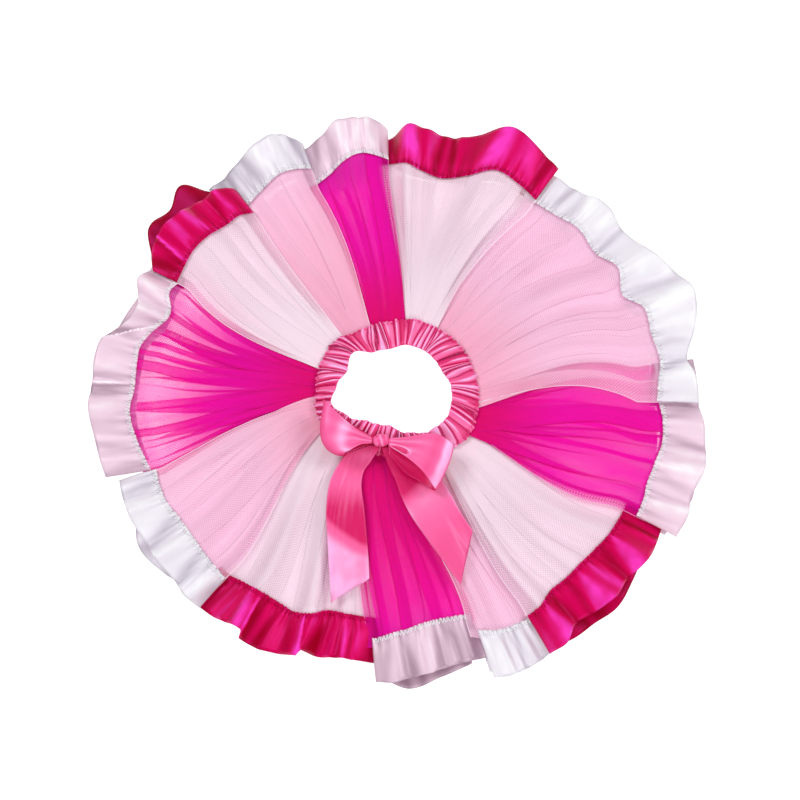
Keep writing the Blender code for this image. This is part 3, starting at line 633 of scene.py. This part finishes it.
ruffle = {
    "step": {"outer": 1.25, "under": 2.0}, "rows": 16, "thick": 0.45, "overTulle": 1.7,
    "puckerWidth": 4.4, "puckerHeight": {"outer": 1.8, "under": 0.5}, "puckerReach": (3.0, 11.0),
    "waveWidth": 34.0, "waveHeight": 1.3, "wedgeWidth": 11.0, "wedgeHeight": 0.5,
    "underSoft": 0.3,                                # how much softer the under ribbons swell
    "arcReach": 285.0, "foldScale": 4.97,            # where the length is measured, and mm a degree there
    "fullness": 1.15, "cutWidth": {"outer": 45.0, "under": 38.0},
    # how dark the painted shade along the sewn edge is
    "paintedEdgeShade": {"hot": 0.8, "light": 0.55},
    "shade": {1: 0.25, 3: -0.15, 4: -0.35, 5: -0.1, 9: -0.35, 10: 0.1, 12: 0.1},    # painted lighter or darker by panel, as if more or less lit
    # painted shade on the ribbons under these panels, and a little painted highlight on the others
    "underShade": {2: -0.8, 5: -0.9, 8: -0.6, 11: -0.2}, "underShadeRest": 0.1,
    # how closely the ribbon under each panel is sewn behind the outer one, so that less shows through
    "hiddenBehind": [0.6, 1.0, 0.0, 1.0, 0.5, 0.7, 1.0, 0.8, 0.7, 1.0, 1.0, 1.0],
    "leastSeen": 22.0,
    "stitchEvery": 4.6, "stitchLength": 6.4, "threadThick": 0.9, "stitchLean": 0.4,
    "stitchAt": 2.6, "stitchOver": 0.8,              # middle of a stitch in from the edge, and above it
}


def ribbonStrip(panel):
    name, number, waves = panel["layerName"], panel["number"], panel["waves"]
    outer = panel["outer"]
    rng = np.random.default_rng(300 + number + (0 if outer else 50))
    startTurn, endTurn = (panelTurn(panel, end, skirt["seamEnd"]) for end in (0.0, 1.0))
    startShift = panel["first"].get("ribbonStart", (0.0, 0.0))
    endShift = panel["last"].get("ribbonEnd", (0.0, 0.0))
    startTurn, endTurn = startTurn + startShift[0], endTurn + endShift[0]
    arc = math.radians(endTurn - startTurn) * ruffle["arcReach"]
    share = np.linspace(0.0, 1.0, int(arc / ruffle["step"][name]) + 1)
    hemTurn = mix(startTurn, endTurn, share)
    gathered, free, lift = (hemWave(waves, hemTurn, key) for key in ("gathered", "free", "lift"))
    if not outer:
        outside = hemWave(panels[number - 1]["waves"], hemTurn, "gathered")
        behind = np.minimum(np.maximum(outside - 2.0, gathered), free - ruffle["leastSeen"])
        gathered = mix(gathered, behind, ruffle["hiddenBehind"][number - 1])
    across = np.linspace(0.0, 1.0, ruffle["rows"])[:, None] ** 1.15
    phase = unevenRun(rng, arc, ruffle["puckerWidth"], share * arc)
    cell = np.floor(phase).astype(int)
    size = rng.uniform(0.4, 1.3, cell.max() + 1)[cell]
    fade = rng.uniform(*ruffle["puckerReach"], cell.max() + 1)[cell]
    for fold in panel["folds"]:
        free = free + fold["step"] * smooth((hemTurn - fold["edge"]) / 0.35 + 0.5)
    width = free - gathered
    fromSeam = across * width
    pucker = (np.sin(np.pi * (phase - cell)) ** 2 * size) * np.exp(-fromSeam / fade)
    broad = unevenRun(rng, arc, ruffle["waveWidth"], share * arc)
    softness = 1.0 if outer else ruffle["underSoft"]
    margin, lifted = skirt["hemMargin"], skirt["tulleLift"]
    onTulle = np.clip(fromSeam / margin, 0.0, 1.0)
    outPart = np.clip((fromSeam - margin) / (width - margin), 0.0, 1.0)
    height = panel["layer"]["flat"] + panelLevel(panel, share) * skirt["hemPitch"]
    height = height + lift * mix(lifted, 1.0, outPart)
    over = ruffle["overTulle"] * (1.0 - smooth(outPart * 1.6))
    belly = skirt["ribbonBelly"] * np.sin(np.pi * outPart) * softness
    soft = ruffle["waveHeight"] * wave(broad) * smooth(across * 1.4)
    height = height + over + belly + pucker * ruffle["puckerHeight"][name] + soft * softness
    reach = gathered + fromSeam - 0.7 * pucker * (1.0 - onTulle * 0.5)
    shift = mix(mix(*startShift, across), mix(*endShift, across), share)
    points = place(panelTurn(panel, share, reach) + shift, reach, np.maximum(height, 0.3))
    uv = np.stack([np.broadcast_to(share * arc * 1.2, reach.shape), fromSeam], axis=-1)
    hot = panel["colour"] == 1
    # The colour is painted lighter where the free edge is lifted, along slanting broad waves and on wedges
    # fanning from the seam. It is painted darker in the low parts, between the wedges, and along the sewn
    # edge between the puckers. On the outer ribbons the wedges are also raised a little.
    lean = wave(broad / 2.3 + 0.1 * number) * (across - 0.5)
    leaningTurn = np.clip(hemTurn + 3.0 * lean, waves["turn"][0], waves["turn"][-1])
    paintedLight = 1.3 * smooth(hemWave(waves, leaningTurn, "lift") / 19.0) - 0.65
    paintedLight = paintedLight * (0.6 if panel["folds"] else 1.0 if hot else 0.8)
    paintedLight = paintedLight + (0.45 if hot else 0.30) * wave(broad + 0.15 + 0.45 * lean)
    paintedLight = paintedLight + ruffle["shade"].get(number, 0.0)
    wedges = unevenRun(rng, arc, ruffle["wedgeWidth"], share * arc)
    wedge = wave(wedges) * np.exp(-fromSeam / (9.0 + 6.0 * np.sin(5.0 * broad)))
    paintedLight = paintedLight * (0.55 + 0.45 * smooth(across * 2.0)) + 0.5 * wedge
    if outer:
        points[..., 2] += ruffle["wedgeHeight"] * wedge * smooth(across * 6.0) * mm
    paintedLight = paintedLight - np.exp(-fromSeam / 5.0) * (ruffle["paintedEdgeShade"]["hot" if hot else "light"] - 1.5 * pucker)
    growth = smooth(across * 1.6)
    for fold in panel["folds"]:                      # a painted highlight on the crest, painted shade just past it, and a slope up to it
        away = fold["side"] * (hemTurn - mix(fold["seam"], fold["edge"], across)) * ruffle["foldScale"]
        paintedHollowShade = smooth(away / 1.5) * np.exp(-np.maximum(away, 0.0) / 8.0)
        paintedLight = paintedLight + (1.9 * bell(away, 1.2) - 1.6 * paintedHollowShade) * (0.3 + 0.7 * growth)
        slope = np.exp(-np.maximum(-away, 0.0) / 7.0) * (1.0 - smooth(away / 1.6))
        points[..., 2] += 3.0 * slope * growth * mm
    # painted shade on some ribbons under the outer ones, and a little painted highlight on the rest
    if not outer:
        paintedLight = paintedLight + ruffle["underShade"].get(number, ruffle["underShadeRest"])
    piece = gridPiece(f"ribbonRuffle_{panel['label']}", points, uv, {"paintedLight": np.clip(paintedLight, -1, 1)})
    wall(piece, ruffle["thick"])
    slot = ribbonSlots[panel["colour"]]
    finishPiece(piece, f"ribbon_{panel['label']}", slot)
    if outer:
        sewDown(points / mm, slot, panel["label"])


def unit(arrow):
    return arrow / max(np.linalg.norm(arrow), 0.001)


def sewDown(points, slot, label):
    # zigzag stitches of thread over the ribbon's sewn edge, one bead of thread for each leg
    edge, inside = points[0], points[3]
    run = np.concatenate([[0.0], np.cumsum(np.linalg.norm(np.diff(edge, axis=0), axis=1))])
    legs = int(2.0 * run[-1] / ruffle["stitchEvery"])
    half, thick = 0.5 * ruffle["stitchLength"] * mm, 0.5 * ruffle["threadThick"] * mm
    sized = Matrix.Diagonal((thick, half, thick, 1.0))
    thread = bmesh.new()
    for leg in range(1, legs):
        at = run[-1] * leg / legs
        spot, further, beyond = (np.array([np.interp(there, run, line[:, axis]) for axis in range(3)])
                                 for there, line in ((at, edge), (at, inside), (at + 1.0, edge)))
        outward, ahead = unit(further - spot), unit(beyond - spot)
        lean = unit(outward + (1 if leg % 2 else -1) * ruffle["stitchLean"] * ahead)
        up = unit(np.cross(lean, np.cross([0.0, 0.0, 1.0], lean)))
        middle = spot + outward * ruffle["stitchAt"] + up * ruffle["stitchOver"]
        axes = np.stack([np.cross(up, lean), lean, up], axis=1)
        turned = Matrix([[*row, 0.0] for row in axes] + [[0, 0, 0, 1]])
        bmesh.ops.create_uvsphere(thread, u_segments=6, v_segments=4, radius=1.0,
                                  matrix=Matrix.Translation(Vector(middle) * mm) @ turned @ sized)
    piece = newPiece(f"stitches_{label}", thread)
    mesh = piece.data
    # the thread over white and light pink ribbons gets a painted highlight; the thread over hot pink ones
    # gets none
    paintedLight = mesh.attributes.new("paintedLight", "FLOAT", "POINT")
    paintedLight.data.foreach_set("value", np.full(len(mesh.vertices), 0.0 if "hot" in slot else 0.9, np.float32))
    mesh.uv_layers.new(name="cloth")
    mesh.shade_smooth()
    finishPiece(piece, f"ribbon_{label}", "white_satin" if slot == "light_pink_satin" else slot)


for panel in panels:
    ribbonStrip(panel)
print("stage: ribbon ruffles ready")

waistband = {
    "gathers": 84, "steps": 14, "around": 30, "thick": 0.5, "cut": (0.58, 0.062),
    "narrow": 0.4, "wide": 2.0, "lean": 5.0, "middleReach": 68.0,
    "depth": 3.6, "stitchDepth": 1.0, "lip": 0.9, "split": 0.45,
    "crestWander": 0.24, "splitShare": 0.4,          # how far crests are off the middle, and how many split
    "stitchAt": 0.80, "lipFrom": 0.82,               # from -1 at the inner edge to 1 at the outer
    # where the bow's shadow is painted on the casing, how dark it is, and how wide
    "knotTurn": 261.0, "knotShade": 2.5, "knotSpread": 5.0,
}


def buildWaistband():
    rng = np.random.default_rng(7)
    gathers = waistband["gathers"]
    turn = np.linspace(0.0, 360.0, gathers * waistband["steps"] + 1)
    angle = np.radians(turn)
    around = np.linspace(0.0, 2.0 * np.pi, waistband["around"] + 1)[:, None]
    acrossBand, upward = np.cos(around), np.sin(around)
    inner, outer, innerHeight = (bandAt(turn, key) for key in ("inner", "outer", "innerHeight"))
    widths = rng.uniform(waistband["narrow"], waistband["wide"], gathers) ** 1.6
    ends = np.concatenate([[0.0], np.cumsum(widths)]) / widths.sum() * 360.0
    slant = sum(rng.uniform(0.4, 1.0) * wave(np.radians(ends) * whole / (2.0 * np.pi) + rng.random())
                for whole in (5, 9, 16))
    slant = slant * 0.5 * waistband["lean"] + rng.uniform(-0.7, 0.7, gathers + 1)
    slant[-1] = slant[0]
    slant = np.interp(turn, ends, slant)
    phase = np.interp((turn + slant * acrossBand) % 360.0, ends, np.arange(len(ends)))
    cell = np.minimum(np.floor(phase).astype(int), gathers - 1)
    within = phase - cell
    size = rng.uniform(0.5, 1.2, gathers)[cell]
    crestAt = (0.5 + waistband["crestWander"] * rng.uniform(-1.0, 1.0, gathers))[cell]
    climb = np.where(within < crestAt, within / crestAt, (1.0 - within) / (1.0 - crestAt))
    ridge = np.sin(0.5 * np.pi * np.clip(climb, 0.0, 1.0)) ** 0.8 * size
    cellWidth = (np.diff(ends)[cell] * math.pi / 180.0) * waistband["middleReach"]
    fromCrest, fromValley = (within - crestAt) * cellWidth, np.minimum(within, 1.0 - within) * cellWidth
    split = (rng.random(gathers) < waistband["splitShare"])[cell] * bell(fromCrest, 0.9)
    towards = np.where((rng.random(gathers) < 0.5)[cell], 1.0, -1.0)
    split = split * smooth(0.3 + 1.2 * acrossBand * towards)
    ridge = ridge - waistband["split"] * split
    edges = np.array([[inner, innerHeight], [outer, band["rimHeight"] + 0.0 * outer]])
    middle, toRim = 0.5 * (edges[0] + edges[1]), 0.5 * (edges[1] - edges[0])
    length = np.linalg.norm(toRim, axis=0)
    along = toRim / length
    top = np.clip(upward * 3.0 + 0.6, 0.0, 1.0)
    stitch = bell(acrossBand - waistband["stitchAt"], 0.07) * np.clip(upward * 3.0, 0, 1)
    lipRuffle = np.sin(angle * 95.0 + 2.0 * np.sin(angle * 11.0))
    swell = waistband["depth"] * (ridge - 0.55) * (0.35 + 0.65 * top)
    swell = swell - waistband["stitchDepth"] * stitch
    swell = swell + waistband["lip"] * lipRuffle * smooth((acrossBand - waistband["lipFrom"]) / 0.1)
    flatness = np.sign(upward) * np.abs(upward) ** 0.75
    outPart = (length - 1.0) * acrossBand + swell * 0.55 * acrossBand
    upPart = band["halfThick"] * flatness + swell * np.clip(upward + 0.15, 0.0, 1.0)
    reach = middle[0] + along[0] * outPart - along[1] * upPart
    height = middle[1] + along[1] * outPart + along[0] * upPart
    uv = np.stack(np.broadcast_arrays(angle * 70.0, around * 12.0 + 0.0 * turn), axis=-1)
    # Painted highlights go on the crests and on one flank of each gather. Painted shade goes on the other
    # flank, in the valleys, along split crests, at the stitching and on the underside, and the bow's shadow
    # is painted by the knot. A slow wave round the band makes it a little lighter and darker.
    crest = bell(fromCrest, 0.65) * smooth(cellWidth / 3.0)
    flank = np.where(within < crestAt, 0.25, -0.35) * (1.0 - crest)
    paintedLight = 1.3 * crest * size + flank - 1.0 * bell(fromValley, 0.85) - 0.9 * split
    # dark lines of painted shade, of uneven strength, in the valleys
    strength = rng.uniform(0.1, 1.0, gathers + 1)[np.where(within < 0.5, cell, cell + 1)]
    line = strength * bell(fromValley, 0.5) * smooth(top)
    paintedLight = paintedLight - 0.7 * stitch * (lipRuffle > 0.1) + 0.2 * np.sin(angle * 7.0 + 1.0)
    paintedLight = 1.5 * paintedLight - 0.6 * (1.0 - smooth(upward * 1.6 + 1.0))
    paintedBowShadow = bell(turn - waistband["knotTurn"], waistband["knotSpread"]) * smooth(acrossBand * 2.0)
    paintedLight = paintedLight - waistband["knotShade"] * paintedBowShadow
    piece = gridPiece("waistbandCasing", place(turn, reach, height), uv,
                      {"paintedLight": np.clip(paintedLight, -1, 1), "paintedCreaseShade": line}, closed=True)
    wall(piece, waistband["thick"])
    finishPiece(piece, "waistband", "pink_satin")


buildWaistband()
print("stage: waistband ready")

bow = {
    "centre": (-15.0, -63.5, 42.5), "knotHalf": (8.0, 6.6, 5.2), "thick": 0.5,
    "ribbonWidth": 40.0, "loopLength": 110.0, "tailStep": 20.0,      # how the cloth's grain runs, mm
    "loopGrid": (81, 41), "tailGrid": (73, 25), "knotGrid": (64, 40),
    "loopPleats": 2.7, "tailClearance": 8.0,
    "loops": {
        "left": dict(station=[0, 0.35, 0.7, 1], topX=[-23.5, -39.4, -56.4, -71.6],
                     topY=[-61, -54.5, -41.5, -26], bottomX=[-23.5, -35, -44.5, -51.5],
                     bottomY=[-66.5, -70.5, -77, -80.5], behindTopY=[-59.5, -49, -35.5, -26],
                     behindBottomY=[-66, -70, -74, -80.5], bulge=(-15.0, -2.0), squareness=(0.6, 1.4),
                     puff=14, climbAlong=1.5, climbAcross=0.16, cut=(0.04, 0.105)),
        "right": dict(station=[0, 0.25, 0.65, 1], topX=[-7.5, 9, 38, 56], topY=[-62, -62.5, -61, -71.5],
                      bottomX=[-7.5, 5.5, 23.5, 38], bottomY=[-69.5, -79.5, -96, -115],
                      behindTopY=[-61, -61, -62, -71.5], behindBottomY=[-76, -92, -104, -115],
                      bulge=(2.5, -0.5), squareness=(1.0, 1.0),
                      puff=15, climbAlong=-3.0, climbAcross=0.12, cut=(0.04, 0.13)),
    },
    "tails": {
        "left": dict(leftX=[-24.5, -46, -56, -65, -68, -66.5, -64.5, -62.5],
                     leftY=[-67, -73.5, -84.5, -103.5, -131.5, -161.5, -191.5, -220.5],
                     rightX=[-16.2, -25, -32, -34, -31, -28.5, -27, -26],
                     rightY=[-69.5, -81.5, -91.5, -107.5, -131.5, -156.5, -176.5, -196.5],
                     height=[13.9, 6, 4, 5, 7, 5, 3, 2.5], cut=(0.04, 0.145)),
        "right": dict(leftX=[-14.4, -7, -1, 5, 15, 33, 62],
                      leftY=[-69.5, -87.5, -100.5, -117.5, -137.5, -163.5, -203.5],
                      rightX=[-9, 13, 32, 44, 54, 62, 74],
                      rightY=[-68.5, -80.5, -88.5, -100.5, -117.5, -132.5, -150.5],
                      height=[13.6, 4.5, 3, 3.5, 5, 4, 2.5], cut=(0.04, 0.12)),
    },
}


def bowPiece(name, node, spots, uv, paintedLight):
    piece = gridPiece(name, spots * mm, uv, {"paintedLight": np.clip(paintedLight, -1, 1)}, flip=False)
    wall(piece, bow["thick"])
    finishPiece(piece, node, "pink_satin")
    return piece


def buildLoop(side):
    loop = bow["loops"][side]
    part, cross = (np.linspace(0.0, 1.0, count) for count in bow["loopGrid"])
    part, cross = part[:, None], cross[None, :]
    out = np.sin(np.pi * part)
    line = {key: curveThrough(out, loop["station"], loop[key]) for key in
            ("topX", "topY", "bottomX", "bottomY", "behindTopY", "behindBottomY")}
    isFront = smooth((part - 0.42) * 6.0)
    topY = mix(line["behindTopY"], line["topY"], isFront)
    bottomY = mix(line["behindBottomY"], line["bottomY"], isFront)
    near, far = loop["squareness"]
    swell = cross ** near * (1.0 - cross) ** far
    swell = swell / swell.max() * out ** 2
    x = mix(line["bottomX"], line["topX"], cross) + loop["bulge"][0] * swell
    y = mix(bottomY, topY, cross) + loop["bulge"][1] * swell
    length = abs(loop["topX"][-1] - loop["topX"][0])
    rise = loop["puff"] * (0.55 * np.sin(np.pi * part) - 0.5 * wave(part)) + 2.6 * (part - 0.5)
    pleats = np.cos(2.0 * np.pi * (bow["loopPleats"] * cross + 0.1))
    crease = 1.4 * pleats * np.exp(-out * length / 16.0)
    crease = crease + np.cos(2.0 * np.pi * (1.2 * cross + 0.4 * out))
    front = smooth((part - 0.5) * 2.2) * out
    crown = (4.0 * cross * (1.0 - cross)) ** 0.75
    height = (bow["centre"][2] + loop["climbAlong"] * out + rise + crease * smooth(out * 3.0)
              + loop["climbAcross"] * (y - 0.5 * (topY + bottomY)) + 4.5 * front * crown)
    spots = np.stack([x, y, height], axis=-1)
    uv = np.stack(np.broadcast_arrays(cross * bow["ribbonWidth"], part * bow["loopLength"]), axis=-1)
    onFront = smooth((part - 0.5) * 12.0)
    if side == "left":                               # one broad painted sheen slanting over the loop, and painted shade at its tip
        sheen = 0.85 * bell(out - 0.74 + 0.22 * cross, 0.13) - 0.25 * smooth((out - 0.88) * 9.0)
    else:                                            # a painted highlight on the turned edge with a darker painted band before it, and a leaf-shaped tuck at the knot with a painted highlight on its rim and painted shade inside
        leaf = np.sqrt(((out - 0.20) / 0.17) ** 2 + ((cross - 0.22) / 0.2) ** 2)
        rim, inside = bell(leaf - 1.0, 0.14), smooth((1.0 - leaf) * 3.0)
        sheen = 0.95 * smooth((out - 0.80) * 9.0) + 0.8 * rim - 0.8 * inside
        sheen = sheen - 0.25 * bell(out - 0.72, 0.07) + 0.15 * cross
        spots[..., 2] += (1.1 * rim - 1.0 * inside) * onFront
    # the pleats near the knot are painted lighter and darker, and the back ply is painted dark as the shade
    # inside the loop
    paintedLight = onFront * (sheen + 0.55 * (pleats * np.exp(-out * length / 22.0))) - 0.95 * (1.0 - onFront)
    piece = bowPiece(f"bowLoop_{side}", f"bow_loop_{side}", spots, uv, paintedLight)


def skirtTop(x, y):
    # height of the outer layer under a point of the bow's tails
    reach = np.hypot(x - skirt["waistX"], y - skirt["waistY"])
    turn = np.degrees(np.arctan2(y - skirt["waistY"], x - skirt["waistX"])) % 360.0
    waist = bandAt(turn, "outer") - skirt["tuckUnderBand"]
    part = np.clip((reach - waist) / (skirt["flatReach"] - waist), 0.0, 1.0)
    best = np.zeros_like(reach)
    for panel in panels[:12]:
        start, end = seamTurn(panel["first"], reach), seamTurn(panel["last"], reach)
        share = (turn - start) / np.maximum(end - start, 1.0)
        lift = hemWave(panel["waves"], mix(panel["first"]["hem"], panel["last"]["hem"], share), "lift")
        here = (turn >= start) & (turn <= end)
        best = np.where(here, clothHeight(layers["outer"], 1.0, lift, part), best)
    return best


def buildTail(side):
    tail = bow["tails"][side]
    stations = np.arange(len(tail["leftX"]), dtype=float)
    rows, columns = bow["tailGrid"]
    at = np.linspace(0.0, stations[-1], rows)
    down, cross = at[:, None], np.linspace(0.0, 1.0, columns)[None, :]
    line = {key: curveThrough(at, stations, tail[key])[:, None] for key in
            ("leftX", "leftY", "rightX", "rightY", "height")}
    x, y = mix(line["leftX"], line["rightX"], cross), mix(line["leftY"], line["rightY"], cross)
    far = bow["tailClearance"]
    near = 0.75 * far
    nearby = [(0, 0), (far, 0), (-far, 0), (0, far), (0, -far),
              (near, near), (-near, -near), (near, -near), (-near, near)]
    top = np.array([skirtTop(x + dx, y + dy) for dx, dy in nearby]).max(axis=0)
    curl = 1.6 * np.sin(np.pi * (cross * 1.1 + down * 0.35)) * smooth(down / 2.0)
    spots = np.stack([x, y, top + line["height"] + curl], axis=-1)
    uv = np.stack(np.broadcast_arrays(cross * bow["ribbonWidth"], down * bow["tailStep"]), axis=-1)
    edgeHighlight = bell(np.minimum(cross, 1.0 - cross), 0.035)
    if side == "left":                               # painted shade half way, as if turned away from the light, and a painted highlight below
        border = 4.5 + 1.2 * cross
        paintedLight = -1.2 * smooth((down - 2.8) / 1.5) * smooth((border - down) / 0.45)
        paintedLight = paintedLight + 0.85 * smooth((down - border) / 0.5) - 0.35 * bell(down - 1.4, 0.9)
    else:                                            # painted shade from the knot to a slanting border, with a band of painted highlight below it and darker again further down
        border = 3.3 - 1.1 * cross
        paintedLight = 0.35 * bell(down - 3.6, 0.8) - 0.25 * smooth((down - 4.6) / 0.8)
        paintedLight = paintedLight - 1.4 * (1.0 - smooth((down - border + 0.6) / 1.1))
    # painted highlights along both edges, and painted shade at the top under the knot
    paintedLight = paintedLight + 0.45 * edgeHighlight * smooth(down - 0.6) - 0.9 * (1.0 - smooth(down / 0.9))
    piece = bowPiece(f"bowTail_{side}", f"bow_tail_{side}", spots, uv, paintedLight)


def buildKnot():
    half, centre = bow["knotHalf"], bow["centre"]
    knot = bmesh.new()
    bmesh.ops.create_uvsphere(knot, u_segments=bow["knotGrid"][0], v_segments=bow["knotGrid"][1], radius=1.0)
    uvLayer = knot.loops.layers.uv.new("cloth")
    paintedLightLayer = knot.verts.layers.float.new("paintedLight")
    for vert in knot.verts:
        x, y, z = vert.co
        fold = math.cos(6.5 * x + 1.8 * y + 0.8 * math.sin(3.0 * x)) * math.sqrt(max(0.0, 1.0 - x * x))
        wrinkle = 1.0 + 0.08 * fold
        # painted lighter and darker along the wrapped folds, and painted shade towards both ends of the knot
        vert[paintedLightLayer] = 0.5 * fold + 0.1 - 0.5 * abs(x) ** 3
        pinch = (1.0 - 0.12 * math.cos(math.pi * x)) * wrinkle
        vert.co = Vector((centre[0] + half[0] * x, centre[1] + half[1] * y * pinch,
                          centre[2] + half[2] * z * wrinkle)) * mm
    for face in knot.faces:
        for loop in face.loops:
            loop[uvLayer].uv = (loop.vert.co.x / mm, loop.vert.co.y / mm)
    piece = newPiece("bowKnot", knot)
    piece.data.shade_smooth()
    finishPiece(piece, "bow_knot", "pink_satin")


for side in ("left", "right"):
    buildLoop(side)
    buildTail(side)
buildKnot()
print("stage: bow ready")

studio = {
    "floorSize": 16.0, "floorDrop": 0.0004, "world": 0.40,
    "floor": {"Base Color": (0.40, 0.40, 0.40), "Roughness": 0.9,
              "Emission Color": (1.0, 1.0, 1.0), "Emission Strength": 0.95},
    "lamps": [
        dict(name="keyLeft", place=(-1.1, 0.6, 1.5), size=0.7, power=13.4),
        dict(name="keyRight", place=(1.3, 0.3, 1.4), size=0.7, power=11.6),
        dict(name="fill", place=(0.1, -1.5, 1.2), size=0.8, power=10.6),
        dict(name="top", place=(-0.35, 1.0, 1.9), size=0.5, power=1.2),
    ],
}
picture = {"target": (0.0036, -0.0115, 0.015), "elevation": 70.0, "distance": 1.9, "lens": 85.5}


def buildStudio():
    sheet = bmesh.new()
    bmesh.ops.create_grid(sheet, x_segments=1, y_segments=1, size=0.5 * studio["floorSize"])
    bmesh.ops.translate(sheet, verts=sheet.verts, vec=(0.0, 0.0, -studio["floorDrop"]))
    floor = newPiece("floor", sheet)
    n = Nodes("paleFloor")
    n.feed(n.shader, studio["floor"])
    floor.data.materials.append(n.material)
    world = bpy.data.worlds.new("studio")
    world.use_nodes = True
    background = world.node_tree.nodes["Background"].inputs
    background["Color"].default_value = (1.0, 1.0, 1.0, 1.0)
    background["Strength"].default_value = studio["world"]
    scene.world = world
    for lamp in studio["lamps"]:
        light = bpy.data.lights.new(lamp["name"], "AREA")
        light.shape = "SQUARE"
        light.size = lamp["size"]
        light.energy = lamp["power"]
        holder = addObject(lamp["name"], light)
        holder.location = lamp["place"]
        holder.rotation_euler = (-Vector(lamp["place"])).to_track_quat("-Z", "Y").to_euler()


def buildCamera():
    lens = bpy.data.cameras.new("camera")
    lens.lens = picture["lens"]
    lens.sensor_width = 36.0
    camera = addObject("camera", lens)
    lean = math.radians(picture["elevation"])
    back = Vector((0.0, -math.cos(lean), math.sin(lean)))
    camera.location = Vector(picture["target"]) + back * picture["distance"]
    camera.rotation_euler = (math.radians(90.0 - picture["elevation"]), 0.0, 0.0)
    scene.camera = camera


buildStudio()
buildCamera()
scene.view_settings.view_transform = "Standard"
scene.cycles.transparent_max_bounces = 48
print("stage: studio ready")
